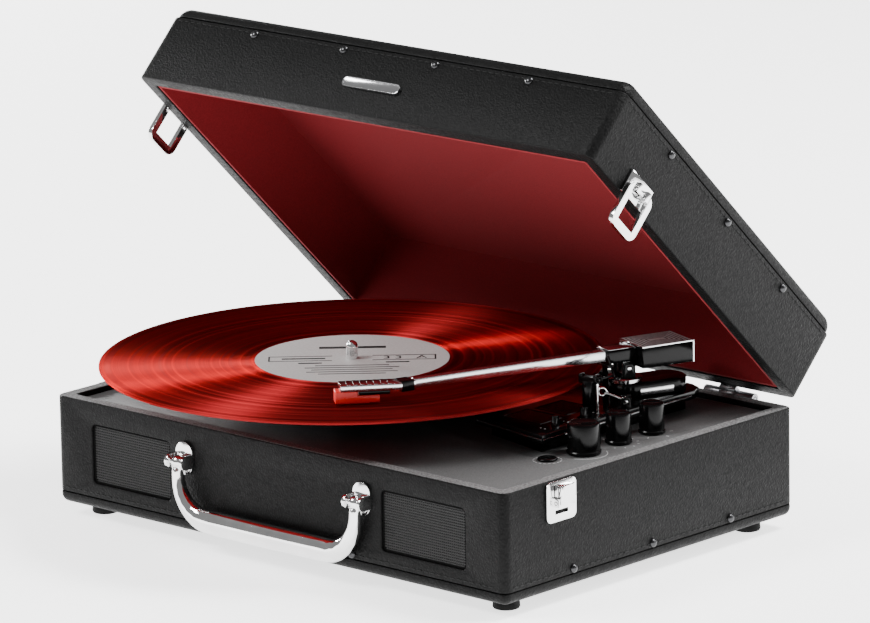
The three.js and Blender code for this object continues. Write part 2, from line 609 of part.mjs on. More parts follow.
// the belt's loop: two arcs joined by their common tangents
function loop(r1, r2, dist, seg) {
  const a = Math.acos((r1 - r2) / dist);
  const pts = [];
  for (let i = 0; i <= seg; i++) {
    const t = a + ((2 * Math.PI - 2 * a) * i) / seg;
    pts.push([r1 * Math.cos(t), r1 * Math.sin(t)]);
  }
  for (let i = 0; i <= 8; i++) {
    const t = -a + (2 * a * i) / 8;
    pts.push([dist + r2 * Math.cos(t), r2 * Math.sin(t)]);
  }
  return pts;
}
const beltZ0 = pulleyZ0 + 1.2;
const beltIn = 0.4;
const beltOut = beltIn + BELT_T;
const belt = outline(loop(SUB_R + beltOut, PULLEY_R + beltOut, MOTOR_OUT, 32), beltZ0, beltZ0 + BELT_H)
  .subtract(outline(loop(SUB_R + beltIn, PULLEY_R + beltIn, MOTOR_OUT, 32), beltZ0 - 1, beltZ0 + BELT_H + 1))
  .rotate([0, 0, MOTOR_DIR]).translate([DISC_X, DISC_Y, 0]);
piece('drive_belt', belt, 'rubber');

// ---------------------------------------------------------------- arm board with its switches
const boardR = 12;
// a board outline, drawn in by d all round
const boardAt = (d, z0, z1) => outline([
  [BOARD_X1 - d, BOARD_Y0 + d],
  [BOARD_X1 - d, BOARD_Y1 - boardR],
  [BOARD_X1 - d - boardR * 0.3, BOARD_Y1 - d - boardR * 0.3],
  [BOARD_X1 - boardR, BOARD_Y1 - d],
  [BOARD_X0 + 20 + d * 0.4, BOARD_Y1 - d],
  [BOARD_X0 + d, BOARD_Y1 - 24 - d * 0.4],
  [BOARD_X0 + d, BOARD_Y0 + BOARD_SKEW + d],
], z0, z1);
const plateZ0 = BOARD_Z1 - BOARD_T;
let board = boardAt(0, plateZ0, BOARD_Z1).add(boardAt(PLINTH_IN, BOARD_Z0, plateZ0 + 0.5));
SWITCH_Y.forEach((y, i) => {
  const [t0, t1] = SWITCH_TRAVEL[i];
  board = board.subtract(box(SWITCH_X - 2, SWITCH_X + 2, y + t0 - 2.4, y + t1 + 2.4,
    BOARD_Z1 - 2.4, BOARD_Z1 + 1));
});
const dir = (deg) => [-Math.sin(rad(deg)), -Math.cos(rad(deg))];
const [ax, ay] = dir(ARM_HEADING);
const cueX = ARM_X + CUE_OUT * ax;
const cueY = ARM_Y + CUE_OUT * ay;
board = board.subtract(cylZ(2.3, BOARD_Z0 + 1, BOARD_Z1 + 1, cueX, cueY, 16));
const cueHubZ = BOARD_Z1 + 4.2;
const atCue = (body) => body.rotate([0, 0, -CUE_TURN]).translate([CUE_X, CUE_Y, 0]);
for (const e of [-1, 1]) {
  const [e0, e1] = e > 0 ? [2.1, 3.3] : [-3.3, -2.1];
  board = board.add(atCue(box(e0, e1, -3, 3, BOARD_Z1 - 0.5, cueHubZ + 2.6)));
}
board = board.subtract(atCue(cylX(1.3, -5, 4, 0, cueHubZ, 12)));
piece('arm_board', board, 'black');

SWITCH_Y.forEach((y, i) => {
  const z0 = BOARD_Z1 - 2.1;
  const b = box(SWITCH_X - 1.7, SWITCH_X + 1.7, y - 2.1, y + 2.1, z0, BOARD_Z1 + 0.9)
    .add(box(SWITCH_X - 1.7, SWITCH_X + 1.7, y - 1.6, y + 1.6, BOARD_Z1, BOARD_Z1 + SWITCH_UP));
  piece(['auto_stop_switch', 'speed_switch'][i], b, 'black');
});

// ---------------------------------------------------------------- cue lift and lever
const liftTop = TUBE_Z + TUBE_S0 / 2 - SLEEVE_H - 0.4;
const liftBar = box(-6.5, 6.5, -1.8, 1.8, liftTop - 2, liftTop).rotate([0, 0, -ARM_HEADING]);
piece('cue_lift', cylZ(1.7, BOARD_Z1 - 4, liftTop - 1, cueX, cueY, 16)
  .add(liftBar.translate([cueX, cueY, 0])), 'black');
{
  const ring = solid(new THREE.TorusGeometry(2.4, 0.9, 6, 12).rotateY(Math.PI / 2).translate(0, -CUE_LEN, 0));
  const rod = cylY(0.9, -CUE_LEN + 2.2, -1, 0, 0, 10);
  const hub = cylX(2.4, -1.7, 1.7, 0, 0, 16).add(cylX(0.95, -3.2, 3.2, 0, 0, 12));
  const lever = ring.add(rod).add(hub).rotate([-CUE_TILT, 0, 0]);
  piece('cue_lever', atCue(lever.translate([0, 0, cueHubZ])), 'chrome');
}

// ---------------------------------------------------------------- arm rest and its clip
const [px, py] = dir(ARM_PARK);
const postX = ARM_X + POST_OUT * px;
const postY = ARM_Y + POST_OUT * py;
const tubeLow = TUBE_Z - TUBE_S0 / 2;
{
  const w = TUBE_S0 / 2 + 0.6;
  const pinX = w + 3.1;
  const pinZ = tubeLow - 2.8;
  const atPost = (body) => body.rotate([0, 0, -ARM_PARK]).translate([postX, postY, 0]);
  const cradle = box(-w - 1.8, w + 1.8, -2.5, 2.5, POST_TOP - 1, tubeLow - 0.4)
    .subtract(box(-w, w, -4, 4, POST_TOP + 3, tubeLow + 2));
  let post = cylZ(POST_R, BOARD_Z1 + GAP, POST_TOP, 0, 0, 24).add(cradle);
  for (const [e0, e1] of [[-2.4, -0.9], [0.9, 2.4]]) {
    post = post.add(box(w + 1.5, w + 4.2, e0, e1, POST_TOP - 0.5, tubeLow - 1));
  }
  post = post.subtract(cylY(0.9, -4, 4, pinX, pinZ, 12));
  piece('arm_rest_post', atPost(post), 'black');
  // the clip, drawn shut over the tube and stored swung open about its pin
  const up = TUBE_S0 + 4.5;
  const reach = TUBE_S0 + 5.2;
  const clip = cylY(0.6, -2.3, 2.3, 0, 0, 10)
    .add(box(-0.7, 0.7, -0.6, 0.6, -0.7, up))
    .add(box(-reach, 0.7, -0.6, 0.6, up - 1.2, up))
    .add(box(-reach, -reach + 1, -0.6, 0.6, up - 2.6, up));
  piece('arm_clip', atPost(clip.rotate([0, CLIP_OPEN, 0]).translate([pinX, 0, pinZ])), 'black');
}

// ---------------------------------------------------------------- tonearm
const turretZ1 = BOARD_Z1 + GAP + TURRET_H;
piece('tonearm_base', slab(TURRET_W, TURRET_L, TURRET_W / 2 - 1, BOARD_Z1 + GAP, turretZ1, 0, 0, 6)
  .translate([0, TURRET_BACK, 0]).rotate([0, 0, -TURRET_TURN]).translate([ARM_X, ARM_Y, 0])
  .subtract(cylZ(5, BOARD_Z1 + 2, turretZ1 + 1, ARM_X, ARM_Y)), 'black');

// arm pieces are drawn pointing along -Y from the swing axis and turned to the stored heading
const arm = new THREE.Group();
arm.position.set(ARM_X, ARM_Y, 0);
arm.rotation.z = -rad(ARM_HEADING);
object.add(arm);
{
  const disc = turretZ1 + GAP;
  const cheekIn = CHEEK_GAP / 2;
  let yoke = cylZ(4.7, BOARD_Z1 + 2.4, disc + 1, 0, 0).add(cylZ(10.5, disc, disc + 2.5, 0, 0));
  for (const e of [-1, 1]) {
    const [e0, e1] = e > 0 ? [cheekIn, cheekIn + CHEEK_T] : [-cheekIn - CHEEK_T, -cheekIn];
    yoke = yoke.add(box(e0, e1, -4, 4, disc + 1, ARM_AXIS_Z + 3));
  }
  yoke = yoke.subtract(cylX(1.8, -20, 20, 0, ARM_AXIS_Z, 16));
  piece('tonearm_yoke', yoke, 'black', arm);

  const sleeveTop = TUBE_Z + TUBE_S0 / 2 + 0.4;
  const sleeveLow = sleeveTop - SLEEVE_H;
  const weightFront = -SLEEVE_L0 + GAP; // +Y side of the axis
  let tube = box(-SLEEVE_W / 2, SLEEVE_W / 2, -SLEEVE_L1, -SLEEVE_L0, sleeveLow, sleeveTop);
  tube = tube.add(box(-cheekIn + 0.5, cheekIn - 0.5, -3.6, 3.6, ARM_AXIS_Z - 3, sleeveLow + 0.5));
  tube = tube.add(cylX(1.4, -cheekIn - CHEEK_T, cheekIn + CHEEK_T, 0, ARM_AXIS_Z, 16));
  // tapered tube
  const a = TUBE_S0 / 2;
  const b = TUBE_S1 / 2;
  const taper = new THREE.BoxGeometry(2, TUBE_FRONT - SLEEVE_L1 + 2, 2)
    .translate(0, -(TUBE_FRONT + SLEEVE_L1 - 2) / 2, 0);
  const p = taper.attributes.position;
  for (let i = 0; i < p.count; i++) {
    const s = p.getY(i) < -SLEEVE_L1 - 5 ? b : a;
    p.setX(i, p.getX(i) * s);
    p.setZ(i, TUBE_Z + p.getZ(i) * s + (s === b ? (a - b) : 0));
  }
  tube = tube.add(solid(taper));
  // tail stub that carries the counterweight
  tube = tube.add(cylY(3, -SLEEVE_L0 - 1, weightFront + WEIGHT_L - 8, 0, TUBE_Z, 16));
  piece('tonearm_tube', tube, 'silver', arm);

  const wTop = sleeveTop + 1.4;
  piece('counterweight', slab(WEIGHT_W, WEIGHT_L, 1, wTop - WEIGHT_H, wTop, 0, weightFront + WEIGHT_L / 2, 2)
    .subtract(cylY(3.3, weightFront - 1, weightFront + WEIGHT_L - 7.6, 0, TUBE_Z, 16)), 'black', arm);

  // headshell: connector block and a plate turned inwards
  const frontTop = TUBE_Z + a;
  const turn = (body) => body.rotate([0, 0, -SHELL_OFFSET]).translate([0, -TUBE_FRONT - 9, 0]);
  const shellTop = frontTop - 0.4;
  const shellLow = shellTop - 3.6;
  let shell = box(-4.5, 4.5, -TUBE_FRONT - 11, -TUBE_FRONT - GAP, shellLow - 1.6, shellTop + 0.2);
  shell = shell.add(turn(box(-SHELL_W / 2, SHELL_W / 2, -SHELL_L, 1, shellLow, shellTop)));
  piece('headshell', shell, 'silver', arm);
  const styLow = RECORD_Z1 + 0.5;
  piece('cartridge', turn(box(-4.6, 4.6, -24, -6, shellLow - 2.6, shellLow - GAP)), 'black', arm);
  const guard = turn(box(-5, 5, -38, -12, styLow + 0.9, shellLow - 2.9)
    .add(box(-5, 5, -38, -25, shellLow - 3.2, shellLow - GAP))
    .add(box(-3.2, 3.2, -36, -18, styLow, styLow + 1.2)));
  piece('stylus_guard', guard, 'stylus', arm);
}

// ---------------------------------------------------------------- knobs, circuit board, sockets
const pcbZ = DECK_Z - 21;
let pcb = box(JACK_X - 22, KNOB_X + 14, JACK_Y + 8, KNOB_Y[2] + 16, pcbZ, pcbZ + 1.6);
const shaftTop = DECK_Z + 0.6 + KNOB_H - 4;
KNOB_Y.forEach((y) => {
  pcb = pcb.add(box(KNOB_X - 7, KNOB_X + 7, y - 7, y + 7, pcbZ + 1.5, pcbZ + 10))
    .add(cylZ(SHAFT_R, pcbZ + 8, shaftTop, KNOB_X, y, 16));
});
piece('circuit_board', pcb, 'pcb');
KNOB_Y.forEach((y, i) => {
  const r = KNOB_R[i];
  const z0 = DECK_Z + 0.6;
  const z1 = z0 + KNOB_H;
  const body = turned([[0, z0], [r + 0.4, z0], [r + 0.2, z0 + 1.5], [r, z1 - 1.2], [r - 1.2, z1], [0, z1]],
    28, KNOB_X, y)
    .subtract(cylZ(SHAFT_R + RUN, z0 - 1, shaftTop + GAP, KNOB_X, y, 16))
    .subtract(box(KNOB_X - r, KNOB_X - r * 0.35, y - 0.45, y + 0.45, z1 - 0.5, z1 + 1));
  piece(['volume_knob', 'tone_knob', 'function_knob'][i], body, 'black');
});
const plugR = 1.9;
const socketZ0 = DECK_Z - 13;
piece('headphone_socket', turned([[plugR, socketZ0], [JACK_R, socketZ0], [JACK_R, DECK_Z + GAP],
  [6, DECK_Z + GAP], [6, DECK_Z + 1.2], [5.2, DECK_Z + 1.6], [plugR, DECK_Z + 1.6], [plugR, socketZ0]],
24, JACK_X, JACK_Y), 'chrome');

let rear = plateXZ(REAR_W, REAR_H, 2, HD + GAP, HD + GAP + 1.5, REAR_X, REAR_Z);
for (const dx of [-22, -8]) {
  rear = rear.add(cylY(4.2, HD - 10, HD + 8, REAR_X + dx, REAR_Z, 16))
    .subtract(cylY(1.7, HD - 2, HD + 12, REAR_X + dx, REAR_Z, 12));
}
rear = rear.add(box(REAR_X + 6, REAR_X + 18, HD - 10, HD + 2.5, REAR_Z - 5.5, REAR_Z + 5.5))
  .subtract(cylY(3.2, HD - 4, HD + 12, REAR_X + 12, REAR_Z, 16));
piece('rear_socket_panel', rear, 'black');

export default object;
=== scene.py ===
import json
import math

import bpy
from mathutils import Matrix, Vector

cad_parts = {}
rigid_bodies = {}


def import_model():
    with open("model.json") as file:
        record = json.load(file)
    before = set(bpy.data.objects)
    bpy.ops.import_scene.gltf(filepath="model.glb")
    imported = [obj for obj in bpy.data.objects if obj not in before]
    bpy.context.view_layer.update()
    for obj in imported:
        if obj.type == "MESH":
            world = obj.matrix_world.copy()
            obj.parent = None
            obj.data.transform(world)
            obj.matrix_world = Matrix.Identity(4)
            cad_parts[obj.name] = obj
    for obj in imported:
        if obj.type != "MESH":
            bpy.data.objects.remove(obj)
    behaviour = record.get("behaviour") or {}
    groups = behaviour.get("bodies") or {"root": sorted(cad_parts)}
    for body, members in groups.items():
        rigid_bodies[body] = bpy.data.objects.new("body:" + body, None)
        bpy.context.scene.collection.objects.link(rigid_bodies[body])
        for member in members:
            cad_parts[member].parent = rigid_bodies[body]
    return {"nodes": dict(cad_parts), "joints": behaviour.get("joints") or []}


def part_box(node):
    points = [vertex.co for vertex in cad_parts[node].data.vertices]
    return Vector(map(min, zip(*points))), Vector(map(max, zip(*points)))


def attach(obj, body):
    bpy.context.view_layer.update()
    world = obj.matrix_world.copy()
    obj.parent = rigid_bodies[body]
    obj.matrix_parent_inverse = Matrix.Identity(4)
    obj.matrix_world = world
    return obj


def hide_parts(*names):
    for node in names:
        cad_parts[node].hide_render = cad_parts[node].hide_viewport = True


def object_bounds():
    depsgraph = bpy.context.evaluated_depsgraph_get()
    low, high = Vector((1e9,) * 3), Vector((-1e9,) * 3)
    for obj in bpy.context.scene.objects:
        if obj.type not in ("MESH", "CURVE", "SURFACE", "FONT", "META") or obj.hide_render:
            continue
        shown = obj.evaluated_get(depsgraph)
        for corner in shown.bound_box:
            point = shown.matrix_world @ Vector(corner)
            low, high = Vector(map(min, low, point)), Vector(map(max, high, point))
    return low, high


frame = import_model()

MM = 0.001
cad_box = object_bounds()

# ---------------------------------------------------------------------------------------------
# Camera, floor and studio light.
# A long lens from the front right, a plain pale floor and large soft boxes.
# ---------------------------------------------------------------------------------------------
CAMERA_PLACE = Vector((2.60034, -2.78634, 1.04809))
CAMERA_TURN = math.radians(42.89)
CAMERA_TILT = math.radians(-13.68)
CAMERA_ROLL = math.radians(-0.99)
bpy.ops.object.camera_add()
camera = bpy.context.object
camera.name = "camera"
camera.data.lens = 273.8
camera.data.sensor_width = 36
camera.data.clip_end = 100
camera.matrix_world = (
    Matrix.Translation(CAMERA_PLACE)
    @ Matrix.Rotation(CAMERA_TURN, 4, "Z")
    @ Matrix.Rotation(math.pi / 2 + CAMERA_TILT, 4, "X")
    @ Matrix.Rotation(CAMERA_ROLL, 4, "Z")
)
bpy.context.scene.camera = camera


class Finish:
    """A procedural material: its shader, and short ways to add and join texture nodes."""

    def __init__(self, name, color=(0.8, 0.8, 0.8), roughness=0.5, metallic=0.0, specular=0.5):
        self.material = bpy.data.materials.new(name)
        self.material.use_nodes = True
        self.nodes = self.material.node_tree.nodes
        self.links = self.material.node_tree.links
        self.shader = self.nodes["Principled BSDF"]
        self.shader.inputs["Base Color"].default_value = (*color, 1)
        self.shader.inputs["Roughness"].default_value = roughness
        self.shader.inputs["Metallic"].default_value = metallic
        self.shader.inputs["Specular IOR Level"].default_value = specular
        self.place = self.nodes.new("ShaderNodeTexCoord").outputs["Object"]

    def link(self, source, target):
        self.links.new(source, target)

    def centred(self, x, y, z, turn=(0, 0, 0), scale=(1, 1, 1)):
        """Object coordinates measured from a point, turned and stretched."""
        node = self.nodes.new("ShaderNodeMapping")
        node.vector_type = "TEXTURE"
        node.inputs["Location"].default_value = (x, y, z)
        node.inputs["Rotation"].default_value = turn
        node.inputs["Scale"].default_value = scale
        self.link(self.place, node.inputs["Vector"])
        return node.outputs["Vector"]

    def noise(self, scale, detail=3, rough=0.6, at=None, dimensions="3D"):
        node = self.nodes.new("ShaderNodeTexNoise")
        node.noise_dimensions = dimensions
        node.inputs["Scale"].default_value = scale
        node.inputs["Detail"].default_value = detail
        node.inputs["Roughness"].default_value = rough
        target = "W" if dimensions == "1D" else "Vector"
        self.link(at or self.place, node.inputs[target])
        return node.outputs["Fac"]

    def cells(self, scale, kind="F1", at=None):
        node = self.nodes.new("ShaderNodeTexVoronoi")
        node.feature = kind
        node.inputs["Scale"].default_value = scale
        self.link(at or self.place, node.inputs["Vector"])
        return node.outputs["Distance"]

    def ramp(self, value, *stops):
        """Colours along a value: each stop is its place and its grey level or colour."""
        node = self.nodes.new("ShaderNodeValToRGB")
        self.link(value, node.inputs["Fac"])
        elements = node.color_ramp.elements
        while len(elements) < len(stops):
            elements.new(0.5)
        for element, (place, tone) in zip(elements, stops):
            element.position = place
            element.color = (*tone, 1) if isinstance(tone, tuple) else (tone, tone, tone, 1)
        return node.outputs["Color"]

    def math(self, kind, a, b=0.0):
        node = self.nodes.new("ShaderNodeMath")
        node.operation = kind
        for socket, value in zip(node.inputs, (a, b)):
            if isinstance(value, (int, float)):
                socket.default_value = value
            else:
                self.link(value, socket)
        return node.outputs["Value"]

    def bump(self, height, strength, distance, under=None):
        node = self.nodes.new("ShaderNodeBump")
        node.inputs["Strength"].default_value = strength
        node.inputs["Distance"].default_value = distance
        self.link(height, node.inputs["Height"])
        if under:
            self.link(under, node.inputs["Normal"])
        self.link(node.outputs["Normal"], self.shader.inputs["Normal"])
        return node.outputs["Normal"]

    def color(self, source):
        self.link(source, self.shader.inputs["Base Color"])

    def roughness(self, source):
        self.link(source, self.shader.inputs["Roughness"])


floor_paint = Finish("floor_paint", roughness=0.95, specular=0.0)
floor_paint.color(floor_paint.ramp(floor_paint.noise(3), (0, 0.90), (1, 0.93)))
floor_paint.shader.inputs["Emission Color"].default_value = (1, 1, 1, 1)
floor_paint.shader.inputs["Emission Strength"].default_value = 2.1
FLOOR_SIZE = 40
bpy.ops.mesh.primitive_plane_add(size=FLOOR_SIZE, location=(0, 0, cad_box[0].z))
floor = bpy.context.object
floor.name = "floor"
floor.data.materials.append(floor_paint.material)


def soft_box(name, place, aim, size, power):
    bpy.ops.object.light_add(type="AREA", location=place)
    light = bpy.context.object
    light.name = name
    light.data.shape = "RECTANGLE"
    light.data.size, light.data.size_y = size
    light.data.energy = power
    light.rotation_euler = (Vector(aim) - Vector(place)).to_track_quat("-Z", "Y").to_euler()


soft_box("front_light", (-1.3, -1.9, 2.4), (0, 0, 0.1), (1.4, 1.0), 95)
soft_box("top_light", (0.9, 1.0, 2.3), (0.05, -0.05, 0.07), (0.9, 0.9), 120)
soft_box("back_right_light", (1.5, 1.8, 1.1), (0.1, 0, 0.07), (0.8, 0.9), 40)
# these two graze the record from the left and draw the bright streaks across its grooves
soft_box("left_light", (-2.1, 1.15, 0.55), (-0.05, 0, 0.09), (0.3, 0.4), 20)
soft_box("low_left_light", (-2.4, -0.05, 0.5), (-0.05, 0, 0.09), (0.4, 0.4), 50)
world = bpy.data.worlds.new("studio")
world.use_nodes = True
world.node_tree.nodes["Background"].inputs["Color"].default_value = (1, 1, 1, 1)
world.node_tree.nodes["Background"].inputs["Strength"].default_value = 0.3
bpy.context.scene.world = world


# ---------------------------------------------------------------------------------------------
# Lower half of the case.
# Fibreboard walls wrapped in pebbled leatherette, glued to a bottom panel whose edge is rolled.
# The seam between them is covered by a row of thread.
# ---------------------------------------------------------------------------------------------
def deselect():
    if bpy.context.mode != "OBJECT":
        bpy.ops.object.mode_set(mode="OBJECT")
    bpy.ops.object.select_all(action="DESELECT")


def take(obj):
    deselect()
    obj.select_set(True)
    bpy.context.view_layer.objects.active = obj


def settle(obj):
    """Puts the object's place, turn and size into its mesh."""
    take(obj)
    bpy.ops.object.transform_apply(location=True, rotation=True, scale=True)


def block(name, low, high):
    deselect()
    low, high = Vector(low), Vector(high)
    bpy.ops.mesh.primitive_cube_add(size=1, location=(low + high) / 2, scale=high - low)
    obj = bpy.context.object
    obj.name = name
    settle(obj)
    return obj


def pick(obj, kind, test):
    """Edit mode with the faces or edges that pass a test on their place and direction."""
    take(obj)
    bpy.ops.object.mode_set(mode="EDIT")
    bpy.ops.mesh.select_mode(type=kind)
    bpy.ops.mesh.select_all(action="DESELECT")
    bpy.ops.object.mode_set(mode="OBJECT")
    if kind == "FACE":
        for face in obj.data.polygons:
            face.select = bool(test(face.center, face.normal))
    else:
        spots = obj.data.vertices
        for edge in obj.data.edges:
            a, b = (spots[i].co for i in edge.vertices)
            edge.select = bool(test((a + b) / 2, (b - a).normalized()))
    bpy.ops.object.mode_set(mode="EDIT")


def round_edges(obj, radius, segments, test):
    pick(obj, "EDGE", test)
    bpy.ops.mesh.bevel(offset=radius, segments=segments, profile=0.5, affect="EDGES")
    bpy.ops.object.mode_set(mode="OBJECT")


def ease(obj, width, segments=2, angle=40):
    """Takes the sharpness off every edge that turns more than an angle."""
    take(obj)
    edge = obj.modifiers.new("eased", "BEVEL")
    edge.width = width
    edge.segments = segments
    edge.limit_method = "ANGLE"
    edge.angle_limit = math.radians(angle)
    bpy.ops.object.modifier_apply(modifier=edge.name)


def cut(obj, cutter):
    take(obj)
    hole = obj.modifiers.new("hole", "BOOLEAN")
    hole.operation = "DIFFERENCE"
    hole.solver = "EXACT"
    hole.object = cutter
    bpy.ops.object.modifier_apply(modifier=hole.name)
    bpy.data.objects.remove(cutter)


def fasten(obj, body, slot, finish, *nodes, angle=35):
    """Gives a finished piece its finish, and fixes it to its body."""
    settle(obj)
    bpy.ops.object.shade_smooth_by_angle(angle=math.radians(angle))
    obj.data.materials.clear()
    obj.data.materials.append(finish.material)
    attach(obj, body)
    if nodes:
        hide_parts(*nodes)
    return obj


def joined(pieces):
    """One object made of several pieces, named after the first."""
    deselect()
    for piece in pieces:
        piece.select_set(True)
    bpy.context.view_layer.objects.active = pieces[0]
    bpy.ops.object.join()
    return pieces[0]


def upright(middle, direction):
    return abs(direction.z) > 0.99


def walls(name, low, high, thickness, corner, inner_corner):
    """Four walls round a hollow, open above and below."""
    obj = block(name, low, high)
    pick(obj, "FACE", lambda middle, normal: abs(normal.z) > 0.9)
    bpy.ops.mesh.inset(thickness=thickness, use_individual=True)
    bpy.ops.mesh.delete(type="FACE")
    bpy.ops.mesh.select_all(action="DESELECT")
    bpy.ops.mesh.select_mode(type="EDGE")
    bpy.ops.mesh.select_non_manifold()
    bpy.ops.mesh.bridge_edge_loops()
    bpy.ops.object.mode_set(mode="OBJECT")
    reach = high[0] - thickness / 2
    round_edges(obj, corner, 10, lambda m, d: upright(m, d) and abs(m.x) > reach)
    round_edges(obj, inner_corner, 4, lambda m, d: upright(m, d) and abs(m.x) < reach - thickness / 4)
    return obj


leather = Finish("leatherette", roughness=0.5, specular=0.09)
pebbles = leather.cells(900, "SMOOTH_F1")
creases = leather.noise(380, 4, 0.65)
mottle = leather.noise(26, 3)
leather.color(leather.ramp(leather.math("ADD", leather.math("MULTIPLY", pebbles, 0.9),
                                        leather.math("MULTIPLY", mottle, 0.4)),
                           (0.25, 0.0058), (0.6, 0.0028), (0.95, 0.0008)))
leather.roughness(leather.ramp(creases, (0.3, 0.38), (0.7, 0.62)))
leather.bump(pebbles, 0.75, 0.35 * MM, leather.bump(creases, 0.25, 0.3 * MM))

CASE_CORNER = 5.5 * MM
CASE_WALL = 9 * MM
INNER_CORNER = 2 * MM
EDGE_ROLL = 0.9 * MM
WINDOW_GAP = Vector((0.3, 0, 0.3)) * MM
WINDOW_CORNER = 3.3 * MM
SOCKET_LAP = 4 * MM
low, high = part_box("base_frame")
base_walls = walls("case_walls", low, high, CASE_WALL, CASE_CORNER, INNER_CORNER)
for side in ("left", "right"):
    g_low, g_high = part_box("speaker_grille_" + side)
    window = block("window", g_low - WINDOW_GAP - Vector((0, 5 * MM, 0)),
                   g_high + WINDOW_GAP + Vector((0, 20 * MM, 0)))
    round_edges(window, WINDOW_CORNER, 5, lambda m, d: abs(d.y) > 0.99)
    cut(base_walls, window)
r_low, r_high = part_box("rear_socket_panel")
cut(base_walls, block("socket_hole", (r_low.x + SOCKET_LAP, high.y - 12 * MM, r_low.z + SOCKET_LAP),
                      (r_high.x - SOCKET_LAP, high.y + 10 * MM, r_high.z - SOCKET_LAP)))
ease(base_walls, EDGE_ROLL, 3)
fasten(base_walls, "base", "leatherette", leather, "base_frame")

# the leatherette turned over the top edge, as a lit copy of the leatherette: its far paler colour is painted
# light on the top face
rim_leather_painted_lit = Finish("rim_leatherette_painted_lit", roughness=0.55, specular=0.4)
rim_pebbles = rim_leather_painted_lit.cells(900, "SMOOTH_F1")
rim_leather_painted_lit.color(rim_leather_painted_lit.ramp(rim_pebbles, (0.25, 0.17), (0.5, 0.085), (0.8, 0.03)))
rim_leather_painted_lit.bump(rim_pebbles, 0.8, 0.3 * MM)
RIM_SUNK = 0.2 * MM
RIM_PROUD = 0.12 * MM
RIM_CORNER = 4.8 * MM
rim_wrap = walls("rim_wrap", (low.x + EDGE_ROLL, low.y + EDGE_ROLL, high.z - RIM_SUNK),
                 (high.x - EDGE_ROLL, high.y - EDGE_ROLL, high.z + RIM_PROUD),
                 CASE_WALL - 2 * EDGE_ROLL, RIM_CORNER, INNER_CORNER)
fasten(rim_wrap, "base", "leatherette", rim_leather_painted_lit)

# the roll of the lower edge, kept under the corner radius so that the corners don't fold over
PANEL_ROLL = 5.2 * MM
HAIR = 0.01 * MM
low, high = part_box("base_bottom_panel")
bottom = block("case_bottom", low, high)
round_edges(bottom, CASE_CORNER, 10, upright)
round_edges(bottom, PANEL_ROLL, 8, lambda m, d: m.z < low.z + HAIR)
ease(bottom, 0.5 * MM, 2, 60)
fasten(bottom, "base", "leatherette", leather, "base_bottom_panel")

thread = Finish("black_thread", color=(0.002, 0.002, 0.002), roughness=0.6, specular=0.2)
thread.bump(thread.noise(2600, 2), 0.6, 0.1 * MM)
thread.color(thread.ramp(thread.noise(900), (0.3, 0.0008), (0.7, 0.002)))
STITCH_LENGTH = 3.2 * MM
STITCH_PITCH = 5.0 * MM
STITCH_THICK = 0.8 * MM
STITCH_SUNK = 0.2 * MM
STITCH_PROUD = 0.28 * MM
STITCH_INSET = 7 * MM


def stitch_row(name, start, end, proud):
    """A straight row of stitches from one point to another, on a face that looks along proud."""
    run = end - start
    count = int(run.length / STITCH_PITCH)
    stitch = block(name, (0, -STITCH_THICK / 2, -STITCH_SUNK),
                   (STITCH_LENGTH, STITCH_THICK / 2, STITCH_PROUD))
    round_edges(stitch, 0.22 * MM, 2, lambda m, d: m.z > STITCH_PROUD - HAIR)
    row = stitch.modifiers.new("row", "ARRAY")
    row.use_relative_offset = False
    row.use_constant_offset = True
    row.constant_offset_displace = (run.length / count, 0, 0)
    row.count = count
    bpy.ops.object.modifier_apply(modifier=row.name)
    along = run.normalized()
    facing = Matrix((along, proud.cross(along), proud)).transposed().to_4x4()
    stitch.matrix_world = Matrix.Translation(start) @ facing
    settle(stitch)
    return stitch


def stitched_round(name, half_x, half_y, z, inset):
    """Four rows of stitches round the sides of the case at one height."""
    rows = []
    for turn, (reach, span) in enumerate([(half_y, half_x), (half_x, half_y)] * 2):
        proud = Matrix.Rotation(turn * math.pi / 2, 3, "Z") @ Vector((0, -1, 0))
        along = Matrix.Rotation(turn * math.pi / 2, 3, "Z") @ Vector((1, 0, 0))
        rows.append(stitch_row(name, proud * reach - along * (span - inset) + Vector((0, 0, z)),
                               proud * reach + along * (span - inset) + Vector((0, 0, z)), proud))
    return joined(rows)


half_x = high.x
half_y = high.y
base_thread = stitched_round("case_stitching", half_x, half_y, high.z + 3.2 * MM, STITCH_INSET)
fasten(base_thread, "base", "leatherette", thread)

# ---------------------------------------------------------------------------------------------
# Feet.
# Turned rubber buttons with a dished sole, each held by a screw through the bottom panel.
# ---------------------------------------------------------------------------------------------
def turned(name, x, y, steps, sides=48):
    """A piece turned about an upright axis, from radius and height at one end to the other."""
    deselect()
    (radius, height), *rest = steps
    bpy.ops.mesh.primitive_circle_add(vertices=sides, radius=radius, fill_type="NGON",
                                      location=(x, y, height))
    obj = bpy.context.object
    obj.name = name
    settle(obj)
    bpy.ops.object.mode_set(mode="EDIT")
    bpy.ops.mesh.select_mode(type="FACE")
    bpy.ops.mesh.select_all(action="SELECT")
    for next_radius, next_height in rest:
        bpy.ops.mesh.extrude_region_move(TRANSFORM_OT_translate={"value": (0, 0, next_height - height)})
        ratio = next_radius / radius
        bpy.ops.transform.resize(value=(ratio, ratio, 1), center_override=(x, y, next_height))
        radius, height = next_radius, next_height
    bpy.ops.mesh.select_all(action="SELECT")
    bpy.ops.mesh.normals_make_consistent(inside=False)
    bpy.ops.object.mode_set(mode="OBJECT")
    return obj


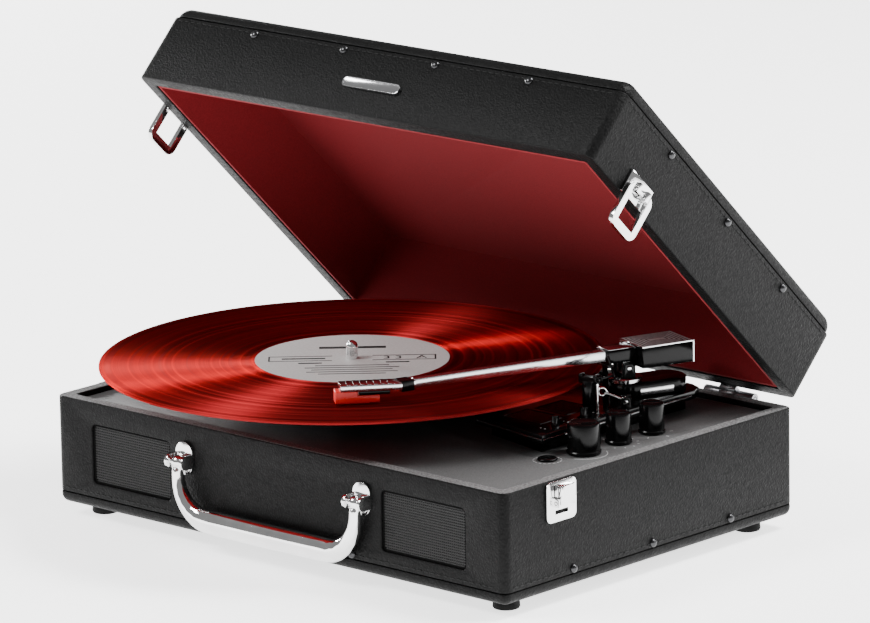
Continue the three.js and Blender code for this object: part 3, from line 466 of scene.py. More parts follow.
rubber = Finish("rubber", color=(0.004, 0.004, 0.004), roughness=0.8, specular=0.2)
rubber.bump(rubber.noise(1400, 3), 0.3, 0.15 * MM)
rubber.roughness(rubber.ramp(rubber.noise(160), (0.3, 0.7), (0.7, 0.9)))
for name in ("foot_front_left", "foot_front_right", "foot_back_left", "foot_back_right"):
    low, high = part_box(name)
    middle = (low + high) / 2
    r = (high.x - low.x) / 2
    z0, z1 = low.z, high.z
    foot = turned(name + "_rubber", middle.x, middle.y,
                  [(3 * MM, z0 + 2 * MM), (3.4 * MM, z0 + 0.3 * MM), (4 * MM, z0),
                   (r - 1.6 * MM, z0), (r - 0.5 * MM, z0 + 0.4 * MM), (r, z0 + 1.4 * MM),
                   (r - 0.5 * MM, z1 - 1 * MM), (r - 0.7 * MM, z1)])
    fasten(foot, "base", "rubber", rubber, name)

# ---------------------------------------------------------------------------------------------
# Speaker grilles.
# Woven black wire cloth in front of each speaker, held in a thin frame at the back of its window.
# ---------------------------------------------------------------------------------------------
GRILLE_PITCH = 1.55 * MM
GRILLE_WIRE = 0.85 * MM
wire_paint = Finish("grille_paint", color=(0.004, 0.004, 0.004), roughness=0.45, specular=0.25)
wire_paint.roughness(wire_paint.ramp(wire_paint.noise(700), (0.3, 0.35), (0.7, 0.6)))
cloth_black = Finish("speaker_cloth", color=(0.004, 0.004, 0.004), roughness=0.95, specular=0.1)
cloth_black.color(cloth_black.ramp(cloth_black.cells(1500), (0.2, 0.0008), (0.8, 0.002)))


def wires(name, low, high, axis, y):
    """Parallel wires that fill a window, upright (axis 0) or level (axis 2)."""
    span = high[axis] - low[axis]
    count = int(span / GRILLE_PITCH)
    step = span / count
    first = Vector(low)
    last = Vector(high)
    first[axis] = low[axis] + (step - GRILLE_WIRE) / 2
    last[axis] = first[axis] + GRILLE_WIRE
    first.y, last.y = y, y + 0.45 * MM
    wire = block(name, first, last)
    round_edges(wire, 0.2 * MM, 1, lambda m, d: abs(d[2 - axis]) > 0.99 and m.y < y + 0.1 * MM)
    row = wire.modifiers.new("row", "ARRAY")
    row.use_relative_offset = False
    row.use_constant_offset = True
    row.constant_offset_displace = [step if i == axis else 0 for i in range(3)]
    row.count = count
    take(wire)
    bpy.ops.object.modifier_apply(modifier=row.name)
    return wire


for side in ("left", "right"):
    low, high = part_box("speaker_grille_" + side)
    edge = Vector((0.4 * MM, 0, 0.4 * MM))
    upright_wires = wires("grille_wires_" + side, low + edge, high - edge, 0, low.y + 0.4 * MM)
    level_wires = wires("grille_level_" + side, low + edge, high - edge, 2, low.y + 0.15 * MM)
    frame_ring = block("grille_frame_" + side, low, (high.x, low.y + 1.0 * MM, high.z))
    round_edges(frame_ring, 3 * MM, 5, lambda m, d: abs(d.y) > 0.99)
    pick(frame_ring, "FACE", lambda m, n: n.y < -0.9)
    bpy.ops.mesh.inset(thickness=1.1 * MM)
    bpy.ops.mesh.extrude_region_move(TRANSFORM_OT_translate={"value": (0, 0.9 * MM, 0)})
    fasten(joined([upright_wires, level_wires]), "base", "grille_mesh", wire_paint)
    fasten(frame_ring, "base", "grille_mesh", cloth_black, "speaker_grille_" + side)

cone_paper = Finish("cone_paper", color=(0.02, 0.02, 0.02), roughness=0.8)
cone_paper.bump(cone_paper.noise(300, 5), 0.5, 0.3 * MM)
cone_paper.color(cone_paper.ramp(cone_paper.noise(60), (0.3, 0.012), (0.7, 0.03)))

# ---------------------------------------------------------------------------------------------
# Deck.
# A moulded plate with a fine spark-eroded texture, dropped inside the rim on a batten.
# ---------------------------------------------------------------------------------------------
deck_plastic = Finish("deck_plastic", roughness=0.5, specular=0.16)
deck_plastic.color(deck_plastic.ramp(deck_plastic.noise(1800, 2), (0.3, 0.07), (0.7, 0.11)))
deck_plastic.roughness(deck_plastic.ramp(deck_plastic.noise(1200, 2), (0.3, 0.45), (0.7, 0.62)))
deck_plastic.bump(deck_plastic.noise(2400, 2), 0.25, 0.1 * MM)
low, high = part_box("deck_panel")
deck = block("deck_plate", low, high)
round_edges(deck, 1.7 * MM, 4, upright)
for node in ("bearing_housing", "headphone_socket"):
    a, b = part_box(node)
    middle = (a + b) / 2
    bpy.ops.mesh.primitive_cylinder_add(vertices=48, radius=(b.x - a.x) / 2 - 2 * MM, depth=0.02,
                                        location=(middle.x, middle.y, high.z))
    cut(deck, bpy.context.object)
ease(deck, 0.5 * MM, 2)
fasten(deck, "base", "deck", deck_plastic, "deck_panel")
deck_top = high.z

# ---------------------------------------------------------------------------------------------
# Lid.
# The upper half of the case, in the same leatherette, open on its hinges. It is drawn shut and
# then turned back about the hinge pins.
# ---------------------------------------------------------------------------------------------
LID_OPEN = math.radians(44.5)
hinge = next(joint for joint in frame["joints"] if joint["name"] == "lid_hinge")
HINGE_AXIS = Vector(hinge["pos_m"])
SWING_OPEN = (
    Matrix.Translation(HINGE_AXIS)
    @ Matrix.Rotation(-LID_OPEN, 4, "X")
    @ Matrix.Translation(-HINGE_AXIS)
)
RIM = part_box("base_frame")[1].z
LID_RIM = RIM + 0.3 * MM
LID_SEAM = RIM + 45 * MM
LID_TOP = LID_SEAM + 9.5 * MM
LID_CLEAR = 0.3 * MM
ROOF_SKIN = 3 * MM


def opened(obj):
    obj.matrix_world = SWING_OPEN @ obj.matrix_world
    return obj


lid_walls = walls("lid_walls", (-half_x, -half_y, LID_RIM), (half_x, half_y, LID_SEAM),
                  CASE_WALL, CASE_CORNER, INNER_CORNER)
ease(lid_walls, EDGE_ROLL, 3)
fasten(opened(lid_walls), "lid", "leatherette", leather, "lid_frame")

# the roof's corners are rounder than the walls', so that the wide roll of its edge doesn't fold over
ROOF_ROLL = 8.6 * MM
ROOF_CORNER = 8.9 * MM
lid_roof = block("lid_roof", (-half_x, -half_y, LID_SEAM + LID_CLEAR), (half_x, half_y, LID_TOP))
round_edges(lid_roof, ROOF_CORNER, 10, upright)
round_edges(lid_roof, ROOF_ROLL, 10, lambda m, d: m.z > LID_TOP - HAIR)
pocket = block("pocket", (-half_x + CASE_WALL, -half_y + CASE_WALL, LID_SEAM - 10 * MM),
               (half_x - CASE_WALL, half_y - CASE_WALL, LID_TOP - ROOF_SKIN))
cut(lid_roof, pocket)
ease(lid_roof, 0.5 * MM, 2, 60)
fasten(opened(lid_roof), "lid", "leatherette", leather, "lid_top_panel")

lid_thread = stitched_round("lid_stitching", half_x, half_y, LID_SEAM - 2.6 * MM, STITCH_INSET)
fasten(opened(lid_thread), "lid", "leatherette", thread)


# ---------------------------------------------------------------------------------------------
# Lid lining.
# Dark red flocked board pressed into the lid, with the flock turned over its edge.
# ---------------------------------------------------------------------------------------------
def dressed(node, width, segments=2, angle=40):
    """The piece's own solid, cleaned up, with its edges eased."""
    take(frame["nodes"][node])
    bpy.ops.object.duplicate()
    obj = bpy.context.object
    obj.name = node + "_finished"
    for key in list(obj.keys()):
        del obj[key]
    bpy.ops.object.parent_clear(type="CLEAR_KEEP_TRANSFORM")
    bpy.ops.object.mode_set(mode="EDIT")
    bpy.ops.mesh.select_all(action="SELECT")
    bpy.ops.mesh.remove_doubles(threshold=0.002 * MM)
    bpy.ops.mesh.dissolve_limited(angle_limit=math.radians(0.5))
    bpy.ops.object.mode_set(mode="OBJECT")
    if width:
        ease(obj, width, segments, angle)
    return obj


def keep(node, body, slot, finish, width, segments=2):
    """The piece as its node has it, dressed and fastened in place of that node."""
    fasten(dressed(node, width, segments), body, slot, finish, node)


flock = Finish("red_flock", roughness=0.9, specular=0.2)
flock.color(flock.ramp(flock.noise(1500, 3), (0.3, (0.12, 0.0035, 0.006)), (0.7, (0.2, 0.008, 0.012))))
flock.bump(flock.noise(2200, 3), 0.35, 0.2 * MM)
flock.shader.inputs["Sheen Weight"].default_value = 0.1
flock.shader.inputs["Sheen Roughness"].default_value = 0.5
flock.shader.inputs["Sheen Tint"].default_value = (0.8, 0.25, 0.25, 1)
keep("lid_lining", "lid", "lining", flock, 0.5 * MM)

# ---------------------------------------------------------------------------------------------
# Badge bar.
# A plain cast bar with rounded ends, pinned to the front of the lid.
# ---------------------------------------------------------------------------------------------
silver = Finish("satin_silver", color=(0.62, 0.62, 0.63), roughness=0.3, metallic=1.0)
silver.roughness(silver.ramp(silver.noise(500, 3), (0.3, 0.13), (0.7, 0.17)))
silver.bump(silver.noise(2500, 2), 0.02, 0.01 * MM)
BADGE = Vector((45, 2, 6.8)) * MM
BADGE_LIFT = 19.6 * MM
badge_z = LID_RIM + BADGE_LIFT
badge = block("badge_bar_cast", (-BADGE.x / 2, -half_y - LID_CLEAR - BADGE.y, badge_z - BADGE.z / 2),
              (BADGE.x / 2, -half_y - LID_CLEAR, badge_z + BADGE.z / 2))
round_edges(badge, BADGE.z * 0.47, 8, lambda m, d: abs(d.y) > 0.99)
pick(badge, "FACE", lambda m, n: n.y < -0.9)
bpy.ops.mesh.inset(thickness=0.7 * MM)
bpy.ops.mesh.extrude_region_move(TRANSFORM_OT_translate={"value": (0, 0.35 * MM, 0)})
bpy.ops.object.mode_set(mode="OBJECT")
ease(badge, 0.25 * MM, 2)
fasten(opened(badge), "lid", "silver", silver, "badge_bar")

# ---------------------------------------------------------------------------------------------
# Rivets.
# Domed gunmetal rivets through the walls of both halves.
# ---------------------------------------------------------------------------------------------
gunmetal = Finish("gunmetal", color=(0.05, 0.05, 0.052), roughness=0.3, metallic=1.0)
gunmetal.roughness(gunmetal.ramp(gunmetal.noise(900), (0.3, 0.22), (0.7, 0.36)))
rivet = turned("rivet", 0, 0, [(2.7 * MM, -0.2 * MM), (2.7 * MM, 0.35 * MM), (2.45 * MM, 1.0 * MM),
                               (1.9 * MM, 1.5 * MM), (1.1 * MM, 1.85 * MM), (0.3 * MM, 2.0 * MM)], 20)
FACE_TURN = {"front": ("X", math.pi / 2), "back": ("X", -math.pi / 2),
             "right": ("Y", math.pi / 2), "left": ("Y", -math.pi / 2)}


def set_rivet(name, face, spot, body):
    take(rivet)
    bpy.ops.object.duplicate()
    piece = bpy.context.object
    piece.name = name
    axis, turn = FACE_TURN[face]
    piece.matrix_world = Matrix.Translation(spot) @ Matrix.Rotation(turn, 4, axis)
    if body == "lid":
        opened(piece)
    fasten(piece, body, "steel", gunmetal, angle=60)


LID_RIVET_Z = 107.2 * MM
BASE_RIVET_Z = 10.4 * MM
# rivet places along each wall, in mm from its middle
for n, x in enumerate((-109.7, -36.6, 36.6, 109.7)):
    set_rivet(f"lid_rivet_front_{n}", "front", (x * MM, -half_y, LID_RIVET_Z), "lid")
    set_rivet(f"lid_rivet_back_{n}", "back", (x * MM, half_y, LID_RIVET_Z), "lid")
for n, y in enumerate((-69.3, 0, 69.3)):
    for face, x in (("left", -half_x), ("right", half_x)):
        set_rivet(f"lid_rivet_{face}_{n}", face, (x, y * MM, LID_RIVET_Z), "lid")
        set_rivet(f"case_rivet_{face}_{n}", face, (x, y * MM, BASE_RIVET_Z), "base")
for n, x in enumerate((-62, 0, 62)):
    set_rivet(f"case_rivet_front_{n}", "front", (x * MM, -half_y, BASE_RIVET_Z), "base")
    set_rivet(f"case_rivet_back_{n}", "back", (x * MM, half_y, BASE_RIVET_Z), "base")
bpy.data.objects.remove(rivet)

# ---------------------------------------------------------------------------------------------
# Carry handle and its brackets.
# A cast bail, thin at the eyes and thick at the grip, chromed, that hangs on two bracket pins.
# ---------------------------------------------------------------------------------------------
chrome = Finish("chrome", color=(0.82, 0.82, 0.84), roughness=0.06, metallic=1.0)
chrome.roughness(chrome.ramp(chrome.noise(120, 4), (0.35, 0.04), (0.75, 0.12)))
chrome.color(chrome.ramp(chrome.noise(60, 3), (0.3, 0.74), (0.7, 0.84)))
handle = dressed("carry_handle", 0)
take(handle)
smooth = handle.modifiers.new("smooth", "SUBSURF")
smooth.levels = 1
smooth.render_levels = 1
bpy.ops.object.modifier_apply(modifier=smooth.name)
fasten(handle, "handle", "chrome", chrome, "carry_handle", angle=50)
for side in ("left", "right"):
    keep("handle_bracket_" + side, "base", "chrome", chrome, 0.35 * MM)

# ---------------------------------------------------------------------------------------------
# Side latches.
# Pressed and chromed plates riveted to both halves. A loop hangs from the lid's plate, and a
# hooked lever on the lower plate pulls it down.
# ---------------------------------------------------------------------------------------------
for side in ("left", "right"):
    keep("catch_plate_" + side, "base", "chrome", chrome, 0.3 * MM)
    keep("catch_lever_" + side, "catch_" + side, "chrome", chrome, 0.5 * MM)
    keep("latch_plate_" + side, "lid", "chrome", chrome, 0.3 * MM)
    keep("latch_loop_" + side, "latch_" + side, "chrome", chrome, 0.7 * MM, 3)

# ---------------------------------------------------------------------------------------------
# Hinges.
# Two pressed steel butt hinges screwed to the backs of both halves, with a pin through each.
# ---------------------------------------------------------------------------------------------
steel = Finish("brushed_steel", color=(0.3, 0.3, 0.31), roughness=0.32, metallic=1.0)
grain = steel.noise(260, 4, at=steel.centred(0, 0, 0, scale=(12, 1, 1)))
steel.roughness(steel.ramp(grain, (0.3, 0.24), (0.7, 0.42)))
steel.bump(grain, 0.08, 0.05 * MM)
for side in ("left", "right"):
    keep("hinge_leaf_base_" + side, "base", "steel", steel, 0.25 * MM)
    keep("hinge_leaf_lid_" + side, "lid", "steel", steel, 0.25 * MM)
    keep("hinge_pin_" + side, "base", "steel", steel, 0.25 * MM)

# ---------------------------------------------------------------------------------------------
# Platter, mat and spindle.
# A black moulded platter with a rubber mat on it, on a bright steel spindle in its bearing.
# ---------------------------------------------------------------------------------------------
black = Finish("black_plastic", color=(0.002, 0.002, 0.0021), roughness=0.15, specular=0.15)
black.roughness(black.ramp(black.noise(160, 3), (0.3, 0.09), (0.7, 0.2)))
black.bump(black.noise(900, 2), 0.03, 0.03 * MM)
low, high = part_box("platter")
disc_x, disc_y = ((low + high) / 2).x, ((low + high) / 2).y
r = (high.x - low.x) / 2
platter = turned("platter_moulding", disc_x, disc_y,
                 [(r - 4 * MM, low.z), (r - 0.6 * MM, low.z), (r, low.z + 0.6 * MM),
                  (r, high.z - 4 * MM), (r - 1.2 * MM, high.z - 3.6 * MM), (r - 1.2 * MM, high.z - 2.4 * MM),
                  (r, high.z - 2 * MM), (r, high.z - 0.8 * MM), (r - 0.8 * MM, high.z),
                  (4 * MM, high.z)], 128)
fasten(platter, "turntable", "black_plastic", black, "platter")
low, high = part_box("slip_mat")
r = (high.x - low.x) / 2
mat = turned("slip_mat_rubber", disc_x, disc_y,
             [(r, low.z), (r, high.z - 0.4 * MM), (r - 0.4 * MM, high.z), (70 * MM, high.z),
              (69 * MM, high.z - 0.5 * MM), (68 * MM, high.z), (4 * MM, high.z)], 96)
fasten(mat, "turntable", "rubber", rubber, "slip_mat")
low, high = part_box("spindle")
r = (high.x - low.x) / 2
spindle = turned("spindle_pin", disc_x, disc_y,
                 [(r, low.z), (r, high.z - 4 * MM), (r * 0.96, high.z - 2.6 * MM),
                  (r * 0.8, high.z - 1.3 * MM), (r * 0.5, high.z - 0.4 * MM), (r * 0.2, high.z)], 40)
fasten(spindle, "turntable", "chrome", chrome, "spindle", angle=60)

# ---------------------------------------------------------------------------------------------
# Record.
# A pressed red vinyl disc: raised bead and label area, and grooves in bands between smooth gaps.
# ---------------------------------------------------------------------------------------------
low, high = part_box("record")
record_r = (high.x - low.x) / 2
LABEL_R = 58 * MM
disc = turned("record_pressing", disc_x, disc_y,
              [(record_r - 0.6 * MM, low.z), (record_r, low.z + 0.5 * MM), (record_r, high.z - 0.5 * MM),
               (record_r - 0.6 * MM, high.z - 0.05 * MM), (record_r - 2.2 * MM, high.z - 0.05 * MM),
               (record_r - 3.2 * MM, high.z - 0.3 * MM), (LABEL_R + 6 * MM, high.z - 0.3 * MM),
               (LABEL_R + 1.4 * MM, high.z - 0.1 * MM), (4 * MM, high.z - 0.1 * MM)], 192)
vinyl = Finish("red_vinyl", roughness=0.6, metallic=0.92)
flat = vinyl.nodes.new("ShaderNodeVectorMath")
flat.operation = "MULTIPLY"
flat.inputs[1].default_value = (1, 1, 0)
vinyl.link(vinyl.centred(disc_x, disc_y, 0), flat.inputs[0])
reach = vinyl.nodes.new("ShaderNodeVectorMath")
reach.operation = "LENGTH"
vinyl.link(flat.outputs["Vector"], reach.inputs[0])
radius_m = reach.outputs["Value"]
fine = vinyl.noise(2600, 2, at=radius_m, dimensions="1D")
broad = vinyl.noise(230, 3, at=radius_m, dimensions="1D")
vinyl.color(vinyl.ramp(broad, (0.25, (0.11, 0.004, 0.005)), (0.55, (0.26, 0.012, 0.014)),
                       (0.8, (0.5, 0.03, 0.035))))
vinyl.roughness(vinyl.ramp(broad, (0.3, 0.5), (0.7, 0.68)))
vinyl.bump(fine, 0.35, 0.12 * MM)
vinyl.shader.inputs["Anisotropic"].default_value = 1.0
vinyl.shader.inputs["Anisotropic Rotation"].default_value = 0.25
vinyl.shader.inputs["Specular Tint"].default_value = (1, 0.3, 0.28, 1)
around = vinyl.nodes.new("ShaderNodeTangent")
around.direction_type = "RADIAL"
around.axis = "Z"
vinyl.link(around.outputs["Tangent"], vinyl.shader.inputs["Tangent"])
fasten(disc, "turntable", "red_vinyl", vinyl, "record", angle=20)

# ---------------------------------------------------------------------------------------------
# Record label.
# A silver-grey paper disc with a few plain printed rules and the speed in figures.
# ---------------------------------------------------------------------------------------------
label_paper = Finish("label_paper", roughness=0.55)
label_paper.color(label_paper.ramp(label_paper.noise(700, 3), (0.3, (0.44, 0.43, 0.42)),
                                   (0.7, (0.54, 0.53, 0.52))))
label_paper.bump(label_paper.noise(1200, 3), 0.1, 0.05 * MM)
label = turned("label", disc_x, disc_y, [(LABEL_R, high.z - 0.12 * MM), (LABEL_R, high.z - 0.02 * MM),
                                         (LABEL_R - 0.3 * MM, high.z), (4 * MM, high.z)], 128)
fasten(label, "turntable", "red_vinyl", label_paper)
ink = Finish("label_ink", color=(0.02, 0.02, 0.022), roughness=0.6, specular=0.2)
ink.color(ink.ramp(ink.noise(1500), (0.3, 0.004), (0.7, 0.012)))
READ_TURN = Matrix.Translation((disc_x, disc_y, 0)) @ Matrix.Rotation(math.radians(43), 4, "Z")
INK_T = 0.05 * MM


def rule(name, x0, x1, y0, y1, z):
    """A printed line on the label, in the label's own reading direction."""
    obj = block(name, (x0 * MM, y0 * MM, z), (x1 * MM, y1 * MM, z + INK_T))
    obj.matrix_world = READ_TURN
    return obj


# two open frames beside the hole, three short bars, a heading bar and five lines of small print, in mm
FRAME_RULES = [(-50, -12, 5.4, 6.5), (-50, -12, -5.5, -4.4), (-50, -49, -5, 6),
               (12, 50, 5.4, 6.5), (12, 50, -5.5, -4.4), (49, 50, -5, 6)]
BAR_RULES = [(-42, -16, -0.8, 1.8), (-32, -18, -12, -9.6), (20, 34, -12, -9.6), (-20, 20, 24, 29)]
LINE_RULES = [(-half, half, -18 - 5 * n, -16.6 - 5 * n) for n, half in enumerate((22, 28, 24, 27, 20))]
prints = [rule("label_rule", *sides, high.z) for sides in FRAME_RULES + BAR_RULES + LINE_RULES]
for figure, x in (("3", 18), ("3", 25), ("A", 38)):
    deselect()
    bpy.ops.object.text_add(location=(x * MM, -2.6 * MM, high.z + INK_T / 2))
    words = bpy.context.object
    words.data.body = figure
    words.data.size = 10 * MM
    words.data.extrude = INK_T / 2
    bpy.ops.object.convert(target="MESH")
    words = bpy.context.object
    words.matrix_world = READ_TURN @ words.matrix_world
    prints.append(words)
label_print = joined(prints)
label_print.name = "label_print"
fasten(label_print, "turntable", "red_vinyl", ink)

# ---------------------------------------------------------------------------------------------
# Arm board.
# A raised black plate with a chamfered front, which carries the arm, the rest and two switches.
# ---------------------------------------------------------------------------------------------
keep("arm_board", "base", "black_plastic", black, 0.7 * MM, 3)
# a thin silver strip along the board's front and side edges, put there as a painted highlight on the edge of
# the black board
BOARD_LEFT = Vector((72, -32, 0)) * MM
BOARD_CORNER = Vector((134.5, -43, 0)) * MM
BOARD_TOP = deck_top + 12.5 * MM
EDGE_HIGHLIGHT_Z = BOARD_TOP - 3.4 * MM
front_run = BOARD_CORNER - BOARD_LEFT
board_edge_highlight = block("board_edge_highlight_front", (0.5 * MM, -0.15 * MM, EDGE_HIGHLIGHT_Z),
             (front_run.length - 0.6 * MM, 0.4 * MM, BOARD_TOP - 2.3 * MM))
front_turn = Matrix.Rotation(math.atan2(front_run.y, front_run.x), 4, "Z")
board_edge_highlight.matrix_world = Matrix.Translation(BOARD_LEFT) @ front_turn
ease(board_edge_highlight, 0.1 * MM, 1)
fasten(board_edge_highlight, "base", "silver", silver)
side_edge_highlight = block("board_edge_highlight_side", (BOARD_CORNER.x - 0.4 * MM, BOARD_CORNER.y + 0.8 * MM, EDGE_HIGHLIGHT_Z),
                  (BOARD_CORNER.x + 0.15 * MM, 90 * MM, BOARD_TOP - 2.5 * MM))
ease(side_edge_highlight, 0.1 * MM, 1)
fasten(side_edge_highlight, "base", "silver", silver)
# two shallow trays moulded on the board, in mm from the middle of the case
for x0, x1, y0, y1 in ((86, 116, -24, -2), (88, 114, 2, 26)):
    field = block("board_field", (x0 * MM, y0 * MM, BOARD_TOP - 0.1 * MM),
                  (x1 * MM, y1 * MM, BOARD_TOP + 0.25 * MM))
    pick(field, "FACE", lambda m, n: n.z > 0.9)
    bpy.ops.mesh.inset(thickness=0.6 * MM)
    bpy.ops.mesh.extrude_region_move(TRANSFORM_OT_translate={"value": (0, 0, -0.25 * MM)})
    bpy.ops.object.mode_set(mode="OBJECT")
    fasten(field, "base", "black_plastic", black)
print_white = Finish("printed_marks", color=(0.5, 0.5, 0.5), roughness=0.6)
print_white.color(print_white.ramp(print_white.noise(2000), (0.3, 0.32), (0.7, 0.5)))


def marks(name, x, y, z, radius, start, end, count, long, wide):
    """Printed dashes round a point, between two angles in degrees."""
    dashes = []
    for n in range(count):
        angle = math.radians(start + (end - start) * n / max(count - 1, 1))
        dash = block(name, (radius, -long / 2, z), (radius + wide, long / 2, z + 0.04 * MM))
        dash.matrix_world = Matrix.Translation((x, y, 0)) @ Matrix.Rotation(angle, 4, "Z")
        dashes.append(dash)
    fasten(joined(dashes), "base", "black_plastic", print_white)


SWITCH_MARK_X = 123.5 * MM
for n, y in enumerate((-30, -10, 16)):
    marks(f"switch_marks_{n}", SWITCH_MARK_X, y * MM, BOARD_TOP, 1.2 * MM, 0, 180, 2, 0.9 * MM, 0.9 * MM)
for node in ("auto_stop_switch", "speed_switch"):
    keep(node, node, "black_plastic", black, 0.4 * MM)

# ---------------------------------------------------------------------------------------------
# Tonearm.
# A tapered square aluminium tube in a black sleeve, on a yoke that turns in the base. Behind the
# pivot it carries a box-shaped weight, and in front a headshell with the pickup.
# ---------------------------------------------------------------------------------------------
for node in ("tonearm_base", "arm_rest_post"):
    keep(node, "base", "black_plastic", black, 0.5 * MM)
keep("tonearm_yoke", "arm_yoke", "black_plastic", black, 0.3 * MM)
ARM_JOINT = next(joint for joint in frame["joints"] if joint["name"] == "tonearm_lift")
ARM_PIVOT = Vector(ARM_JOINT["pos_m"])
PIVOT_X, PIVOT_Y = 107.4 * MM, 60.4 * MM
BASE_TURN = Matrix.Rotation(-math.radians(22), 4, "Z")
band = block("turret_band", (12.7 * MM, 4 * MM, BOARD_TOP + 1.2 * MM),
             (13.3 * MM, 26 * MM, BOARD_TOP + 5.6 * MM))
ease(band, 0.2 * MM, 2)
band.matrix_world = Matrix.Translation((PIVOT_X, PIVOT_Y, 0)) @ BASE_TURN
fasten(band, "base", "silver", silver)
COLLAR_Z = BOARD_TOP + 8.7 * MM
collar = turned("yoke_collar", PIVOT_X, PIVOT_Y,
                [(10.8 * MM, COLLAR_Z), (10.8 * MM, COLLAR_Z + 1.9 * MM), (10.2 * MM, COLLAR_Z + 2.5 * MM),
                 (6 * MM, COLLAR_Z + 2.5 * MM)], 48)
fasten(collar, "arm_yoke", "silver", silver)
low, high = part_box("arm_rest_post")
post_x, post_y = (low.x + high.x) / 2 - 0.7 * MM, (low.y + high.y) / 2
ROD_REACH = 4.6 * MM
for n, angle in enumerate((20, 62)):
    turn = math.radians(angle)
    rod = turned(f"rest_rod_{n}", post_x + ROD_REACH * math.cos(turn), post_y + ROD_REACH * math.sin(turn),
                 [(0.9 * MM, low.z), (0.9 * MM, high.z - 5 * MM), (0.5 * MM, high.z - 4.6 * MM)], 16)
    fasten(rod, "base", "chrome", chrome)
TUBE_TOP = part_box("tonearm_tube")[1].z
ARM_TURN = Matrix.Translation((ARM_PIVOT.x, ARM_PIVOT.y, 0)) @ Matrix.Rotation(-math.radians(19), 4, "Z")


def along_arm(obj):
    """Drawn with the arm pointing along -Y from its pivot; turned to where the arm stands."""
    obj.matrix_world = ARM_TURN @ obj.matrix_world
    return obj


keep("tonearm_tube", "tonearm", "silver", silver, 0.5 * MM)
sleeve = block("arm_sleeve", (-7.4 * MM, -14.7 * MM, TUBE_TOP - 7.8 * MM),
               (7.4 * MM, 4.5 * MM, TUBE_TOP + 0.3 * MM))
round_edges(sleeve, 1.2 * MM, 3, lambda m, d: abs(d.y) > 0.99)
ease(sleeve, 0.3 * MM, 2)
fasten(along_arm(sleeve), "tonearm", "black_plastic", black)
sleeve_plate = block("sleeve_plate", (-6.4 * MM, -14.2 * MM, TUBE_TOP + 0.2 * MM),
                     (6.4 * MM, 4 * MM, TUBE_TOP + 0.7 * MM))
ease(sleeve_plate, 0.2 * MM, 2)
fasten(along_arm(sleeve_plate), "tonearm", "silver", silver)

# the weight: a moulded box with a ridged top and a bright edge round its back
keep("counterweight", "tonearm", "black_plastic", black, 0.5 * MM)
weight_finish = Finish("weight_grey", color=(0.10, 0.10, 0.105), roughness=0.42, specular=0.5)
weight_finish.roughness(weight_finish.ramp(weight_finish.noise(600), (0.3, 0.35), (0.7, 0.5)))
weight_finish.color(weight_finish.ramp(weight_finish.noise(900), (0.3, 0.3), (0.7, 0.42)))
WEIGHT_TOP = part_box("counterweight")[1].z
W_HALF = 27.7 * MM / 2
W_FRONT = 4.7 * MM
W_BACK = W_FRONT + 35 * MM
CAP_IN = 0.8 * MM
RIDGE_W = 1.3 * MM
GROOVE_W = 0.9 * MM
GROOVE_DEEP = 0.7 * MM
cap = block("weight_top", (-W_HALF + CAP_IN, W_FRONT + CAP_IN, WEIGHT_TOP - 0.4 * MM),
            (W_HALF - CAP_IN, W_BACK - CAP_IN, WEIGHT_TOP + 0.05 * MM))
pick(cap, "FACE", lambda m, n: n.z > 0.9)
for ring in range(5):
    bpy.ops.mesh.inset(thickness=RIDGE_W)
    bpy.ops.mesh.extrude_region_move(TRANSFORM_OT_translate={"value": (0, 0, -GROOVE_DEEP)})
    bpy.ops.mesh.inset(thickness=GROOVE_W)
    bpy.ops.mesh.extrude_region_move(TRANSFORM_OT_translate={"value": (0, 0, GROOVE_DEEP)})
bpy.ops.object.mode_set(mode="OBJECT")
fasten(along_arm(cap), "tonearm", "black_plastic", weight_finish)
EDGE_W = 0.7 * MM
BACK_EDGE = W_BACK - EDGE_W
EDGE_PROUD = 0.1 * MM
EDGE_LOW = WEIGHT_TOP - 0.5 * MM
EDGE_TOP = WEIGHT_TOP + 0.15 * MM
WEIGHT_FOOT = WEIGHT_TOP - 13 * MM
back = W_BACK + EDGE_PROUD
edging = [
    block("weight_edging", (-W_HALF, BACK_EDGE, WEIGHT_FOOT), (-W_HALF + EDGE_W, back, WEIGHT_TOP)),
    block("weight_edging", (W_HALF - EDGE_W, BACK_EDGE, WEIGHT_FOOT),
          (W_HALF + EDGE_PROUD, back, WEIGHT_TOP)),
    block("weight_edging", (-W_HALF, BACK_EDGE, EDGE_LOW), (W_HALF, back, EDGE_TOP)),
    block("weight_edging", (-W_HALF - EDGE_PROUD, W_FRONT, EDGE_LOW), (-W_HALF + 0.5 * MM, W_BACK, EDGE_TOP)),
    block("weight_edging", (W_HALF - 0.5 * MM, W_FRONT, EDGE_LOW), (W_HALF + EDGE_PROUD, W_BACK, EDGE_TOP)),
    block("weight_edging", (-W_HALF, W_FRONT - EDGE_PROUD, EDGE_LOW), (W_HALF, W_FRONT + 0.5 * MM, EDGE_TOP)),
]
fasten(along_arm(joined(edging)), "tonearm", "silver", silver)

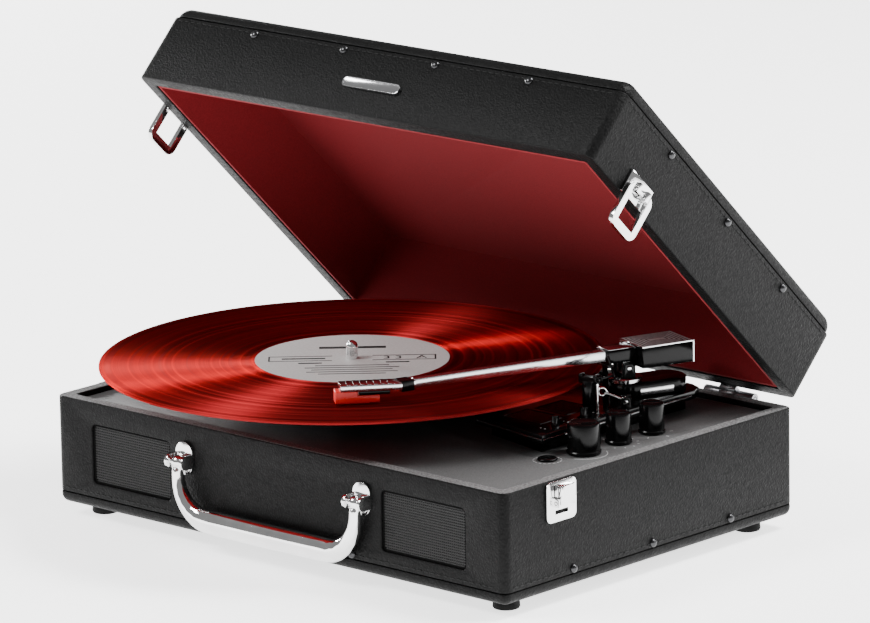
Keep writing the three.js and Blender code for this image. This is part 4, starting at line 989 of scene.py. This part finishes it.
# the headshell: a ribbed plate on the turned end, with a black plug between it and the tube
keep("headshell", "tonearm", "silver", silver, 0.35 * MM)
SHELL_TURN = Matrix.Translation((0, -150 * MM, 0)) @ Matrix.Rotation(-math.radians(21), 4, "Z")
SHELL_TOP = TUBE_TOP - 0.8 * MM
RIB_HALF = Vector((5.6, 1.1, 0)) * MM
RIB_STEP = 4 * MM
for n in range(7):
    middle = Vector((0, -6 * MM - n * RIB_STEP, SHELL_TOP))
    rib = block("shell_rib", middle - RIB_HALF - Vector((0, 0, 0.1 * MM)),
                middle + RIB_HALF + Vector((0, 0, 0.35 * MM)))
    ease(rib, 0.2 * MM, 2)
    rib.matrix_world = SHELL_TURN @ rib.matrix_world
    fasten(along_arm(rib), "tonearm", "silver", silver)
plug = block("shell_plug", (-4.9 * MM, -151 * MM, SHELL_TOP - 5.6 * MM),
             (4.9 * MM, -142.6 * MM, SHELL_TOP + 0.7 * MM))
ease(plug, 0.4 * MM, 2)
fasten(along_arm(plug), "tonearm", "black_plastic", black)
keep("cartridge", "tonearm", "black_plastic", black, 0.3 * MM)
red_plastic = Finish("red_plastic", color=(0.75, 0.012, 0.006), roughness=0.3)
red_plastic.roughness(red_plastic.ramp(red_plastic.noise(600), (0.3, 0.25), (0.7, 0.4)))
keep("stylus_guard", "tonearm", "red_plastic", red_plastic, 0.5 * MM, 3)
keep("cue_lift", "cue_lift", "black_plastic", black, 0.3 * MM)
keep("cue_lever", "cue_lever", "chrome", chrome, 0.15 * MM)
keep("arm_clip", "arm_clip", "black_plastic", black, 0.2 * MM)

# ---------------------------------------------------------------------------------------------
# Knobs and headphone socket.
# Moulded gloss black knobs pushed on to the shafts of the circuit board's controls.
# ---------------------------------------------------------------------------------------------
for node in ("volume_knob", "tone_knob", "function_knob"):
    low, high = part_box(node)
    middle = (low + high) / 2
    r = (high.x - low.x) / 2
    knob = turned(node + "_moulding", middle.x, middle.y,
                  [(r - 1 * MM, low.z), (r, low.z + 0.2 * MM), (r, low.z + 1.4 * MM),
                   (r - 0.5 * MM, low.z + 2 * MM), (r - 0.7 * MM, high.z - 1.8 * MM),
                   (r - 1.0 * MM, high.z - 0.7 * MM), (r - 1.8 * MM, high.z - 0.1 * MM),
                   (r - 2.4 * MM, high.z), (r - 2.9 * MM, high.z - 0.35 * MM),
                   (0.5 * MM, high.z - 0.5 * MM)], 64)
    fasten(knob, node, "black_plastic", black, node)
keep("headphone_socket", "base", "black_plastic", black, 0.3 * MM)
marks("socket_marks", 141.5 * MM, -46.5 * MM, deck_top, 8 * MM, 0, 340, 18, 1.5 * MM, 0.5 * MM)
KNOB_X = 148 * MM
marks("volume_marks", KNOB_X, -22 * MM, deck_top, 13.5 * MM, -70, 60, 32, 1.1 * MM, 0.45 * MM)
marks("tone_marks", KNOB_X, 8.5 * MM, deck_top, 11 * MM, -60, 240, 11, 0.7 * MM, 1.4 * MM)
marks("function_marks", KNOB_X, 38 * MM, deck_top, 11 * MM, -60, 60, 3, 0.8 * MM, 2 * MM)

# ---------------------------------------------------------------------------------------------
# Works under the deck, and the sockets at the back.
# Paper-coned speakers, a steel motor with its pulley and belt, the bearing and a circuit board,
# screwed under the deck. They keep their plain solids, since the case hides them.
# ---------------------------------------------------------------------------------------------
board_green = Finish("circuit_board", color=(0.02, 0.12, 0.05), roughness=0.4)
board_green.color(board_green.ramp(board_green.cells(300), (0.2, (0.01, 0.09, 0.035)),
                                   (0.7, (0.03, 0.17, 0.07))))
for nodes, finish in [(("speaker_left", "speaker_right"), cone_paper),
                      (("motor", "motor_pulley", "bearing_housing"), steel),
                      (("circuit_board",), board_green),
                      (("drive_belt",), rubber),
                      (("rear_socket_panel",), black)]:
    for node in nodes:
        mesh = frame["nodes"][node].data
        mesh.materials.clear()
        mesh.materials.append(finish.material)
